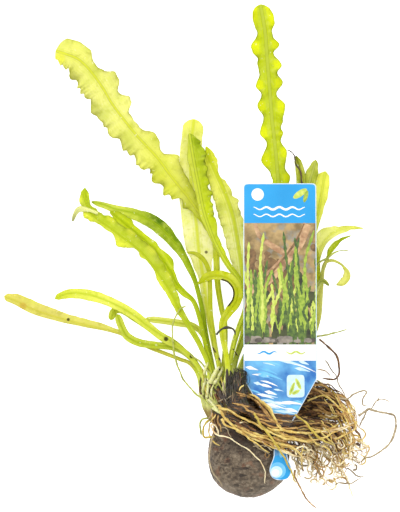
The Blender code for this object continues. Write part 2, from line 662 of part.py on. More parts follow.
# Leaves in front, nearest the eye
leaf(
    "leaf_front",
    -0.1,
    [(-9, 36), (-7, 46), (-4.5, 54), (-2, 61), (-1.8, 67), (-4.5, 73.5), (-9, 79.5), (-13, 86),
     (-16, 92.5), (-19.5, 103), (-22, 115.5), (-24, 126), (-25.5, 135.5)],
    [(0, 0.5), (3, 1), (6, 1.6), (11, 2.6), (15, 2), (24, 2), (30, 1.8), (35, 2.2), (41, 1.5),
     (50, 1), (60, 1.2), (106, 1.1)],
    [(0, 0.4), (2, 2.4), (5, 4), (8, 5.2), (11, 5.4), (13, 4.4), (15.5, 5.2), (18, 4),
     (20.5, 4.7), (24, 4), (27, 5), (30, 3.9), (33, 4.3), (35.5, 3.5), (38, 4.1), (41, 3.4),
     (44, 2.4), (50, 2.2), (58, 1.4), (70, 1.2), (106, 1.1)],
    0.8,
    [(0, 14), (0.3, 11), (0.6, 6), (1, 4)],
    (0.46, 0.58, 0.04),
    ruffle=0.7,
    step=[(0, 5), (0.3, 3.6), (0.38, 2.3), (1, 2.3)],
)
leaf(
    "thin_stalk",
    -0.5,
    [(-13, 35), (-15, 48.5), (-16.5, 60), (-16.7, 69.5), (-17.2, 77), (-19.5, 82), (-23, 84.6),
     (-26.5, 85)],
    [(0, 0.5), (6, 0.95), (30, 0.95), (70, 0.8)],
    None,
    0.6,
    [(0, 14), (0.4, 12), (1, 10)],
    (0.62, 0.68, 0.22),
)
leaf(
    "leaf_curl",
    0.1,
    [(-9.5, 38), (-11.5, 50), (-11.5, 56), (-9, 60.5), (-6, 64.8), (-5.6, 69.5), (-8.3, 73.6),
     (-13, 75.3), (-17.5, 74.8), (-22, 71.8)],
    [(0, 0.6), (5, 1.6), (12, 1.7), (28, 1.7), (34, 1.4), (53, 1)],
    [(0, 0.6), (5, 2), (14, 2.4), (28, 2.4), (34, 1.8), (53, 1)],
    1,
    [(0, 15), (0.4, 13), (0.7, 13), (1, 12)],
    (0.80, 0.82, 0.10),
    fold=0.4,
    step=3,
)
strand(
    "pale_fibre",
    [(-15, 19.5), (-20, 23.5), (-24, 27), (-27.5, 31), (-30.7, 38), (-32.3, 46), (-32.3, 55),
     (-30, 60.5), (-26.8, 62.5)],
    [(0, 0.35), (0.5, 0.35), (1, 0.25)],
    [(0, 12), (0.5, 6), (1, 5)],
    (0.75, 0.80, 0.45),
    sides=4,
    step=4.5,
)
strand(
    "dried_arc",
    [(-14.3, 50.8), (-12, 52.9), (-9.6, 53.8), (-7.1, 52.9), (-6.2, 50.5)],
    [(0, 0.35), (0.5, 0.45), (1, 0.3)],
    [(0, 21), (1, 21)],
    (0.05, 0.04, 0.02),
    sides=4,
    step=3.0,
)

strand(
    "thin_stalk_right",
    [(27, 78), (29.5, 81), (32.8, 82.8), (35.7, 85), (39.5, 86), (42.4, 85.7)],
    [(0, 0.45), (0.5, 0.45), (1, 0.25)],
    [(0, 5), (1, 2)],
    (0.45, 0.48, 0.30),
    sides=4,
    step=3.0,
)
strand(
    "dried_thread",
    [(22.6, 112), (21.6, 116.8), (21, 119), (19.3, 122.6), (18.5, 126.4), (16.8, 128.1),
     (15.5, 128.4)],
    [(0, 0.4), (0.5, 0.35), (1, 0.25)],
    [(0, 6), (1, 2)],
    (0.16, 0.12, 0.07),
    sides=4,
    step=3.0,
)
strand(
    "green_thread",
    [(24, 48), (28.6, 49.6), (33.2, 50.4), (37.5, 51.7), (41.2, 52.5)],
    [(0, 0.4), (0.5, 0.35), (1, 0.25)],
    [(0, 5), (1, 2)],
    (0.40, 0.46, 0.10),
    sides=4,
)
strand(
    "fibre_tuft",
    [(-5, 19), (-5.8, 24), (-5.6, 29), (-4.2, 33), (-2.6, 36)],
    [(0, 2.2), (0.35, 3.4), (0.75, 2.4), (1, 0.5)],
    [(0, 20), (1, 10)],
    (0.05, 0.035, 0.02),
    sides=8,
    step=3.0,
    tall=0.4,
)

plant_label()

# Single roots on the right, and one dried thread
strand(
    "root_right_arch",
    [(24.2, 22.4), (26.8, 23.9), (30.2, 24.8), (32.8, 23.9), (35.7, 21.8), (37.8, 19.3),
     (41.2, 17.2), (44.5, 15.5)],
    [(0, 0.5), (0.5, 0.45), (1, 0.35)],
    [(0, 8), (1, 6)],
    YELLOW,
)
strand(
    "root_right_hook",
    [(31.5, 7.1), (36.1, 7.1), (39.9, 8.4), (42.8, 10.1), (44.1, 11.8), (43.5, 14.5)],
    [(0, 0.5), (0.5, 0.45), (1, 0.3)],
    [(0, 8), (1, 6)],
    YELLOW,
    step=3.0,
)
strand(
    "root_hang_right",
    [(33.6, 6.7), (34.9, 3.4), (36.1, -0.4), (37, -4.2), (39.1, -6.7), (40.7, -10), (42, -13.4),
     (43.7, -17.2), (45, -20.6)],
    [(0, 0.5), (0.5, 0.4), (1, 0.2)],
    [(0, 8), (0.5, 4), (1, 1)],
    (0.66, 0.54, 0.32),
    sides=4,
)
strand(
    "root_stray",
    [(19.3, -6.8), (19.3, -9.5), (21, -13.9), (23.5, -18.1), (26, -21), (28.6, -23.3)],
    [(0, 0.4), (0.5, 0.35), (1, 0.2)],
    [(0, 3), (1, 0.6)],
    (0.40, 0.34, 0.24),
    sides=4,
)
strand(
    "root_right_branch",
    [(36.5, 24), (40.7, 23.5), (43.3, 25.2), (46.2, 26.5), (49.1, 26.4), (47.9, 23.9), (47.5, 21.8),
     (47.9, 20.6), (50, 20.2)],
    [(0, 0.35), (0.5, 0.35), (1, 0.25)],
    [(0, 6), (1, 4)],
    BROWN,
    sides=4,
    step=3.0,
)
strand(
    "root_far_loop",
    [(46, 16), (50, 19), (51.7, 18.5), (55, 17.6), (59.2, 16.8), (61.3, 15.5), (61.7, 10.5),
     (60.5, 6.7), (58, 3.4), (55.4, 1.3), (51.7, -0.8), (48, -1.5)],
    [(0, 0.4), (0.5, 0.4), (1, 0.3)],
    [(0, 4), (0.5, 1), (1, 2)],
    (0.42, 0.34, 0.20),
    sides=4,
)
strand(
    "root_low_right",
    [(41.2, -5.9), (44.1, -8.4), (45.8, -9.7), (49.1, -9.2)],
    [(0, 0.35), (0.5, 0.35), (1, 0.2)],
    [(0, 3), (1, 0.8)],
    (0.42, 0.34, 0.20),
    sides=4,
    step=2.6,
)
strand(
    "root_low_arc",
    [(36.5, -13.2), (38.2, -12.2), (42.4, -12.2), (44.9, -11.3), (47, -10.1)],
    [(0, 0.35), (0.5, 0.35), (1, 0.2)],
    [(0, 1.5), (1, 0.8)],
    (0.42, 0.34, 0.20),
    sides=4,
    step=2.6,
)
strand(
    "root_dark_arc",
    [(29.4, 48.6), (31.2, 46.8), (34.4, 44.1), (37, 40.7), (37.8, 37), (37.6, 33.6), (36.1, 31.5),
     (33.6, 31.5), (30.7, 32)],
    [(0, 0.5), (0.5, 0.6), (1, 0.35)],
    [(0, 4), (1, 3)],
    (0.12, 0.09, 0.06),
    sides=4,
    step=3.0,
)

# Locks and single roots over the stake and over the tuber's shoulder
strand(
    "lock_over",
    [(-2, 21), (2, 17.5), (8, 13.5), (15, 10.5), (23, 8.8), (31, 6.5), (36, 1), (38.5, -6)],
    [(0, 1.2), (0.3, 2.4), (0.7, 3.4), (0.95, 1.8), (1, 0.5)],
    [(0, 18), (0.5, 10), (1, 4)],
    (0.45, 0.27, 0.10),
    sides=8,
    step=3.0,
    tall=0.35,
)
strand(
    "lock_front",
    [(-8, 17), (-2.5, 12), (4, 8.3), (10.5, 5.6), (17.5, 3), (24, 0.5), (29, -4), (31, -10)],
    [(0, 1.1), (0.3, 2.1), (0.7, 2.8), (0.95, 1.6), (1, 0.5)],
    [(0, 18), (0.5, 12), (1, 4)],
    (0.50, 0.31, 0.12),
    sides=8,
    step=3.0,
    tall=0.35,
)
strand(
    "root_face",
    [(-16.5, 12.5), (-14, 9.3), (-11, 8.4), (-8.5, 7.6), (-6.3, 5.9), (-3, 4.2), (0.4, 2.1),
     (2.9, -0.4), (5, -3.8), (6.3, -7.1), (5.9, -11.3)],
    [(0, 0.45), (0.6, 0.45), (1, 0.3)],
    [(0, 18), (1, 20)],
    YELLOW,
)
strand(
    "root_left_loop",
    [(-17.6, 15.5), (-20.2, 14.7), (-21, 11.8), (-20.2, 8)],
    [(0, 0.6), (0.6, 0.5), (1, 0.4)],
    [(0, 14), (1, 9)],
    YELLOW,
    step=2.4,
)
strand(
    "root_left_bend",
    [(-17.2, 14.7), (-18.9, 13.4), (-19.3, 10.5), (-18.9, 7.6), (-14.7, 8)],
    [(0, 0.6), (0.6, 0.6), (1, 0.4)],
    [(0, 17), (1, 16)],
    YELLOW,
    step=2.4,
)
strand(
    "root_left_down",
    [(-15.5, 9), (-16.3, 5), (-17.3, 0.4), (-16.4, -4.5), (-14.7, -8.4), (-11.3, -12.6)],
    [(0, 0.45), (0.6, 0.4), (1, 0.25)],
    [(0, 14), (1, 10)],
    (0.70, 0.60, 0.40),
    sides=4,
)
strand(
    "root_top_long",
    [(-13.4, 20.6), (-9.2, 19.3), (-5, 16.8), (-0.4, 15.1), (4, 12.6), (9.7, 9.6), (16, 7.5),
     (24, 6.8), (31, 8), (37, 10.5)],
    [(0, 0.5), (0.5, 0.5), (1, 0.35)],
    [(0, 20), (0.5, 16), (1, 8)],
    YELLOW,
)
strand(
    "root_top_short",
    [(-12.6, 19.7), (-10.9, 16.8), (-8.4, 14.3), (-5.9, 11.8), (-2.1, 10.5), (1.3, 9.2), (7, 7.6),
     (13, 5.8)],
    [(0, 0.5), (0.5, 0.5), (1, 0.35)],
    [(0, 20), (1, 20)],
    YELLOW,
)
strand(
    "root_fork",
    [(-12.2, 16), (-10.5, 13.4), (-8, 12.2), (-5, 11.3), (0, 7.5), (4, 4.5), (8, 1.7)],
    [(0, 0.5), (0.5, 0.45), (1, 0.3)],
    [(0, 20), (1, 20)],
    YELLOW,
)
strand(
    "root_steep",
    [(1.7, 18.5), (2.9, 16), (5.5, 11.8), (7.6, 9.2), (10.5, 5), (13.5, 0.5), (17, -6), (19, -11)],
    [(0, 0.5), (0.5, 0.5), (1, 0.3)],
    [(0, 20), (1, 12)],
    YELLOW,
)
strand(
    "root_arch",
    [(5, 23.1), (8.4, 20.2), (10.1, 16.4), (12.2, 12.6), (16, 10.5), (22, 10)],
    [(0, 0.5), (0.5, 0.5), (1, 0.3)],
    [(0, 18), (1, 18)],
    YELLOW,
)
strand(
    "root_cross",
    [(18.5, 17.6), (22.7, 14.7), (25.2, 11.3), (28.1, 8.4), (31, 6.5), (34.5, 5)],
    [(0, 0.5), (0.5, 0.5), (1, 0.35)],
    [(0, 16), (0.4, 12), (1, 8)],
    YELLOW,
)
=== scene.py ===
"""Looks of a water plant lying as picked: leaves, tuber, roots and a plastic label.

Every length is in millimetres until a mesh is made of it. The centre lines of the leaves and
single roots take their height from the CAD node that each piece replaces. Routes, outlines and
lists of colours are texts such as "0 1.4, 2 1.7", with a row of numbers for each point or colour.
"""
import json
import math

import bpy
import numpy as np
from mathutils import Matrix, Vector, noise
from mathutils.bvhtree import BVHTree

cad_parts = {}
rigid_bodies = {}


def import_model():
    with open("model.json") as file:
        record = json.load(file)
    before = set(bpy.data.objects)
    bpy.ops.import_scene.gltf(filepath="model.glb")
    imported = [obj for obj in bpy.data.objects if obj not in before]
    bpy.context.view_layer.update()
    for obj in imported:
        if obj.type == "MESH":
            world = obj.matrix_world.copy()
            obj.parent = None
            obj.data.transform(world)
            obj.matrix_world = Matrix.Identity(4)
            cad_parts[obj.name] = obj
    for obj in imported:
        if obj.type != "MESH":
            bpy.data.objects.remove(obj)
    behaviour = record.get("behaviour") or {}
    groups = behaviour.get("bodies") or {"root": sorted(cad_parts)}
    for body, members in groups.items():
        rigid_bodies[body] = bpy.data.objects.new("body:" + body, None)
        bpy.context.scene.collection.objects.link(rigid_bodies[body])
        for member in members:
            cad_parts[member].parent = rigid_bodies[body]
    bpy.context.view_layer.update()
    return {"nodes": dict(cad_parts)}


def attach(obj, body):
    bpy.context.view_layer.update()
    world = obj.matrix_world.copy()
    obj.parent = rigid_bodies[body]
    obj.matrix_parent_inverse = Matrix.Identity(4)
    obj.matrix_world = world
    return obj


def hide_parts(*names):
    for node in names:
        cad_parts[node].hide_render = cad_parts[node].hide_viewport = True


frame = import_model()

MM = 0.001
TUBER_CENTRE = np.array((-0.4, -0.8))
TUBER_HALF_WIDTH = 17.3
TUBER_HEIGHT = 26.0
CROWN_CENTRE = np.array((-9.3, 20.6))
CROWN_HALF_WIDTH = 8.6
CROWN_HEIGHT = 14.5
LABEL_X = 12.5
LABEL_UNDERSIDE = 26.1
LABEL_THICKNESS = 0.6
LABEL_SLOPE = -0.13
ALONG = (CROWN_CENTRE - TUBER_CENTRE) / np.linalg.norm(CROWN_CENTRE - TUBER_CENTRE)
SIDE = np.array((ALONG[1], -ALONG[0]))

# No leaf or root is drawn lower than this
LOWEST = 0.03

# How dark a surface is made, so that the bright studio light shows it as tone() is told.
# A leaf shows part of the light that falls on its underside, which is less.
SHADE = 0.74
LEAF_SHADE = 0.86

# A leaf's maps hold the way across it and the way along it as shares of these
MAP_WIDTH = 20.0
MAP_LENGTH = 200.0


def rows(text):
    """The rows of numbers in a text such as "0 1.4, 2 1.7"."""
    return [tuple(map(float, row.split())) for row in text.split(",")]


# Materials


def tone(colour, shade):
    """The surface colour that the studio light shows as this one, each part from 0 to 255."""
    return tuple(((np.array(colour) / 255 + 0.055) / 1.055) ** 2.4 * shade)


class Value:
    """An output in a shader. Those that are numbers can be added, multiplied and so on."""

    def __init__(self, shader, socket):
        self.shader, self.socket = shader, socket

    def maths(self, operation, other=0.0):
        return self.shader.add("Math", {"operation": operation}, i0=self, i1=other)

    def __add__(self, other):
        return self.maths("ADD", other)

    def __sub__(self, other):
        return self.maths("SUBTRACT", other)

    def __mul__(self, other):
        return self.maths("MULTIPLY", other)

    def __pow__(self, other):
        return self.maths("POWER", other)

    def __abs__(self):
        return self.maths("ABSOLUTE")

    def larger(self, other):
        return self.maths("MAXIMUM", other)

    def wave(self):
        """Its sine, between 0 and 1."""
        return self.maths("SINE") * 0.5 + 0.5

    def fade(self, low, high, most=1.0):
        """0 where it is low, most where it is high, and even between."""
        return self.shader.add("MapRange", i0=self, i1=low, i2=high, i3=0.0, i4=most)


class Shader:
    """A material in the making; colour is what has been painted on it so far."""

    def __init__(self, name, shade=SHADE):
        self.material = bpy.data.materials.new(name)
        self.material.use_nodes = True
        self.tree = self.material.node_tree
        self.tree.nodes.clear()
        self.out = self.tree.nodes.new("ShaderNodeOutputMaterial")
        self.shade = shade
        self.colour = None
        self.place = self.add("TexCoord", output="Object")

    def add(self, kind, settings=None, output=0, **inputs):
        """A new node's output. Its inputs go by name, or by number as in i0."""
        node = self.tree.nodes.new("ShaderNode" + kind)
        for key, value in (settings or {}).items():
            setattr(node, key, value)
        for key, value in inputs.items():
            numbered = key[0] == "i" and key[1:].isdigit()
            socket = node.inputs[int(key[1:]) if numbered else key.replace("_", " ")]
            if isinstance(value, Value):
                self.tree.links.new(value.socket, socket)
            elif socket.type == "RGBA" and len(value) == 3:
                socket.default_value = (*tone(value, self.shade), 1.0)
            else:
                socket.default_value = value
        return Value(self, node.outputs[output])

    def axes(self, value):
        """The first two numbers of a place or map."""
        outputs = self.add("SeparateXYZ", i0=value).socket.node.outputs
        return Value(self, outputs[0]), Value(self, outputs[1])

    def map(self, name):
        """The two numbers that the mesh carries under this name."""
        return self.axes(self.add("UVMap", {"uv_map": name}))

    def clouds(self, scale, detail=3, roughness=0.5, stretch=None):
        """Noise between 0 and 1, or finer by stretch along each axis."""
        place = self.add("Mapping", Vector=self.place, Scale=stretch) if stretch else self.place
        return self.add(
            "TexNoise", output="Fac", Vector=place, Scale=scale, Detail=detail, Roughness=roughness
        )

    def ramp(self, value, colours, places):
        """These colours at these places between 0 and 1, and even between."""
        output = self.add("ValToRGB", Fac=value)
        elements = output.socket.node.color_ramp.elements
        while len(elements) < len(colours):
            elements.new(0.5)
        for element, place, colour in zip(elements, places, colours):
            element.position = place
            element.color = (*tone(colour, self.shade), 1.0)
        return output

    def mix(self, share, first, second, kind="MIX"):
        settings = {"data_type": "RGBA", "blend_type": kind}
        return self.add("Mix", settings, 2, i0=share, i6=first, i7=second)

    def paint(self, share, colour, kind="MIX"):
        """Lays a colour over what is there, as much as share says."""
        self.colour = self.mix(share, self.colour, colour, kind)

    def close(self, face):
        self.tree.links.new(face.socket, self.out.inputs[0])
        return self.material

    def skin(self, height, strength, depth, rough, shine):
        """The painted surface with bumps, and the bumps."""
        bumps = self.add("Bump", Strength=strength, Distance=depth, Height=height)
        return bumps, self.add(
            "BsdfPrincipled", Base_Color=self.colour, Roughness=rough, Normal=bumps,
            Specular_IOR_Level=shine,
        )


def leaf_skin(
    name, colours, rib, rib_width=0.7, veins=0.3, side=None, rim=(140, 150, 10), rim_share=0.55,
    spots=(), glow=0.55, lobe=None, line=0.25, patch=(255, 253, 150),
):
    """A translucent leaf with a midrib, fine long and cross veins, a darker rim, painted shade and
    glints.

    colours run from base to tip, evenly spread. side is a colour and how much of it the leaf's
    right half has, or the left half if that is negative. spots are (from the tip, to the left,
    radius, colour). lobe is the colour of the lobes, patch that of the lighter patches, and line
    how dark the midrib's edges are.
    """
    leaf = Shader(name, LEAF_SHADE)
    across, along = leaf.map("UVMap")
    aside, to_tip = leaf.map("Reach")
    aside, to_tip = aside * MAP_WIDTH - MAP_WIDTH / 2, to_tip * MAP_LENGTH
    fold_shade, from_base = leaf.map("Fold")
    from_base = from_base * MAP_LENGTH
    notch_shade, lobed = leaf.map("Mark")
    x, y = leaf.axes(leaf.place)
    colours = rows(colours)
    leaf.colour = leaf.ramp(along, colours, np.linspace(0, 1, len(colours)))
    if side:
        *tint, share = side
        low, high = (0.56, 0.40) if share > 0 else (0.44, 0.60)
        leaf.paint(across.fade(low, high, abs(share)), tint)
    fine = leaf.clouds(430, 2)
    leaf.paint(fine.fade(0.52, 0.64, 0.42), (236, 238, 120))
    leaf.paint(fine.fade(0.46, 0.34, 0.40), (228, 232, 120), "MULTIPLY")
    leaf.paint(leaf.clouds(160).fade(0.42, 0.62, 0.75) * 0.45, patch)
    leaf.paint(leaf.clouds(130).fade(0.50, 0.68, 0.5) * 0.6, (200, 213, 0))
    if lobe:
        leaf.paint(lobed.fade(0.52, 0.68, 0.9), lobe)
    offset = abs(across - 0.5)
    lines = (offset * 88).wave() ** 3
    steps = (to_tip * 5.2 + offset * 9).wave() ** 5
    net = lines.larger(steps * 0.28) * veins
    leaf.paint(net, rib)
    width = abs(aside)
    middle = width.fade(0.75 * rib_width, 0.30 * rib_width, 0.85)
    leaf.paint(middle, rib)
    leaf.paint(abs(width - 0.52 * rib_width).fade(0.22, 0.06, line), rim)
    leaf.paint(abs(width - 1.15 * rib_width).fade(0.3, 0.08, 0.35), rib)
    # Painted shade in the notches of the teeth and in the inlets between lobes
    inlet_shade = lobed.fade(0.47, 0.25) * offset.fade(0.40, 0.48)
    leaf.paint((notch_shade * 0.6).larger(inlet_shade * 0.55), rim)
    # The foot is a pale sheath, shaded and brown where it meets the crown
    sheath = leaf.mix(lines * 0.8, (248, 248, 170), (182, 195, 40))
    leaf.paint(from_base.fade(17, 6, 0.9), sheath)
    shaded = y.fade(0.0290, 0.0255) * x.fade(-0.0150, -0.0130)
    leaf.paint(shaded * 0.92, (58, 42, 26))
    leaf.paint(y.fade(0.0212, 0.0182, 0.85), (142, 108, 62))
    # Painted shade on the slopes of folds and ruffles, on lowered edges and along a stalk's edges
    leaf.paint(fold_shade * 0.5, (205, 210, 90), "MULTIPLY")
    leaf.paint(offset.fade(0.455, 0.495, rim_share), rim)
    # Painted glints: small white specks of highlight
    leaf.paint(leaf.clouds(620, 2).fade(0.69, 0.73, 0.55), (255, 255, 225))
    for far, left, radius, *tint in spots:
        wide, high = aside - left, to_tip - far
        away = wide * wide + high * high
        leaf.paint(away.fade(1.2 * radius**2, 0.5 * radius**2, 0.9), tint)
    bumps, face = leaf.skin(net * 0.6 + middle, 0.4, 0.0004, 0.45, 0.18)
    through = leaf.add("BsdfTranslucent", Color=leaf.colour, Normal=bumps)
    thin = from_base.fade(10, 34, glow - 0.12) + 0.12
    return leaf.close(leaf.add("MixShader", i0=thin, i1=face, i2=through))


def plain_skin(name, main, other, scale=900, rough=0.55, bump=0.3, glow=0.0, stain=None):
    """A mottled material between two colours, with a fine bump and larger stains."""
    plain = Shader(name)
    cloud = plain.clouds(scale, 4)
    plain.colour = plain.mix(cloud.fade(0.35, 0.65), main, other)
    if stain:
        plain.paint(plain.clouds(230).fade(0.50, 0.66, 0.75), stain)
    _, face = plain.skin(cloud, bump, 0.0002, rough, 0.5)
    if glow:
        through = plain.add("BsdfTranslucent", Color=plain.colour)
        face = plain.add("MixShader", i0=glow, i1=face, i2=through)
    return plain.close(face)


# Shapes


def new_piece(name, points, faces, materials, face_materials=None, maps=None):
    """A smooth mesh from points and an (n, 4) array of faces; maps hold two numbers a point."""
    mesh = bpy.data.meshes.new(name)
    points = np.asarray(points, float) * MM
    mesh.vertices.add(len(points))
    mesh.vertices.foreach_set("co", points.ravel())
    mesh.loops.add(faces.size)
    mesh.loops.foreach_set("vertex_index", faces.ravel())
    mesh.polygons.add(len(faces))
    mesh.polygons.foreach_set("loop_start", np.arange(0, faces.size, 4))
    mesh.polygons.foreach_set("loop_total", np.full(len(faces), 4))
    if face_materials is not None:
        mesh.polygons.foreach_set("material_index", face_materials)
    for key, values in (maps or {}).items():
        layer = mesh.uv_layers.new(name=key)
        layer.data.foreach_set("uv", values[faces.ravel()].ravel())
    mesh.polygons.foreach_set("use_smooth", np.full(len(faces), True))
    mesh.update(calc_edges=True)
    return finish_piece(mesh, materials)


def finish_piece(mesh, materials):
    """A checked mesh as an object with these materials."""
    mesh.validate()
    for material in materials:
        mesh.materials.append(material)
    obj = bpy.data.objects.new(mesh.name, mesh)
    bpy.context.scene.collection.objects.link(obj)
    return obj


def place_piece(obj, *nodes):
    """The piece rides on the plant and stands for these CAD nodes."""
    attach(obj, "root")
    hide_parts(*nodes)


def smooth_route(points, step):
    """Evenly spaced points on a smooth curve through the given ones, and their distances."""
    p = np.asarray(points, float)
    p = np.vstack([2 * p[0] - p[1], p, 2 * p[-1] - p[-2]])
    t = np.linspace(0, 1, 24, endpoint=False)[:, None]
    fine = []
    for a, b, c, d in zip(p[:-3], p[1:-2], p[2:-1], p[3:]):
        curve = 2 * b + (c - a) * t + (2 * a - 5 * b + 4 * c - d) * t**2
        fine.append(0.5 * (curve + (3 * b - a - 3 * c + d) * t**3))
    fine = np.vstack(fine + [p[-2][None]])
    walked = np.concatenate([[0], np.cumsum(np.linalg.norm(np.diff(fine, axis=0), axis=1))])
    s = np.linspace(0, walked[-1], max(int(walked[-1] / step), 3) + 1)
    at = np.column_stack([np.interp(s, walked, fine[:, k]) for k in range(fine.shape[1])])
    return at, s


def normals_of(at):
    """The directions to the left of a line of plan points."""
    tangent = np.gradient(at[:, :2], axis=0)
    tangent /= np.linalg.norm(tangent, axis=1)[:, None]
    return np.column_stack([-tangent[:, 1], tangent[:, 0]])


def eased(values, reach):
    """A moving average over 2 * reach + 1 values."""
    padded = np.pad(values, reach, mode="edge")
    return np.convolve(padded, np.full(2 * reach + 1, 1 / (2 * reach + 1)), mode="valid")


def wobble(s, seed, scale):
    """Smooth seeded noise along a line, between about -1 and 1."""
    return np.array([noise.noise(Vector((v / scale, seed * 7.31, seed * 1.7))) for v in s]) * 2


trees = {}  # the shapes that height_of has met so far
FAR = 1000.0  # above or below everything


def height_of(name, x, y, from_above=True):
    """The height where a CAD node, or else a piece of this scene, is met at a plan point."""
    if name not in trees:
        mesh = (frame["nodes"].get(name) or bpy.data.objects[name]).data
        trees[name] = BVHTree.FromPolygons(
            [v.co for v in mesh.vertices], [p.vertices for p in mesh.polygons]
        )
    way = 1 if from_above else -1
    met = trees[name].ray_cast(Vector((x, y, FAR * way)) * MM, Vector((0, 0, -way)))[0]
    return None if met is None else met.z / MM


def node_middle(name, at):
    """Heights of the middle of a CAD node under these plan points, filled in past its ends."""
    found, where = [], []
    for k, (x, y) in enumerate(at[:, :2]):
        top, low = height_of(name, x, y), height_of(name, x, y, False)
        if top is not None and low is not None:
            found.append((top + low) / 2)
            where.append(k)
    return np.interp(np.arange(len(at)), where, found)


def edge(to_tip, knots, rounding):
    """Half widths at these distances from the tip: smooth from knot to knot, round at the tip."""
    places, halves = np.transpose(knots)
    k = np.clip(np.searchsorted(places, to_tip, side="right") - 1, 0, len(places) - 2)
    t = np.clip((to_tip - places[k]) / (places[k + 1] - places[k]), 0, 1)
    half = halves[k] + (halves[k + 1] - halves[k]) * t * t * (3 - 2 * t)
    inwards = 1 - np.clip(to_tip / rounding, 0, 1)
    return half * np.maximum(np.sqrt(1 - inwards**2), 0.12)


def ruffle_of(to_tip, knots, half, ruffle):
    """How far the edge is lifted: each lobe the other way, none near the tip or on a stalk."""
    lobes = [b[0] for a, b, c in zip(knots[:-2], knots[1:-1], knots[2:]) if a[1] < b[1] >= c[1]]
    lobes = np.array([lobes[0] - 8] + lobes + [lobes[-1] + 8])
    phase = np.interp(to_tip, lobes, np.pi * np.arange(len(lobes)))
    size = np.clip((half - 1.5) / 2.5, 0, 1) * np.clip(to_tip / 4, 0, 1)
    return ruffle * size * np.cos(phase)


def quads(numbers, order):
    """Faces between neighbours in a table of point numbers, with their corners in this order."""
    squares = (numbers[:-1, :-1], numbers[:-1, 1:], numbers[1:, 1:], numbers[1:, :-1])
    return np.dstack([squares["abcd".index(corner)] for corner in order]).reshape(-1, 4)


def closed(rings, around):
    """The point numbers of these many rings, each one's first point also its last."""
    numbers = np.arange(rings * around).reshape(rings, around)
    return np.pad(numbers, ((0, 0), (0, 1)), mode="wrap")


LEAF_COLUMNS = 17


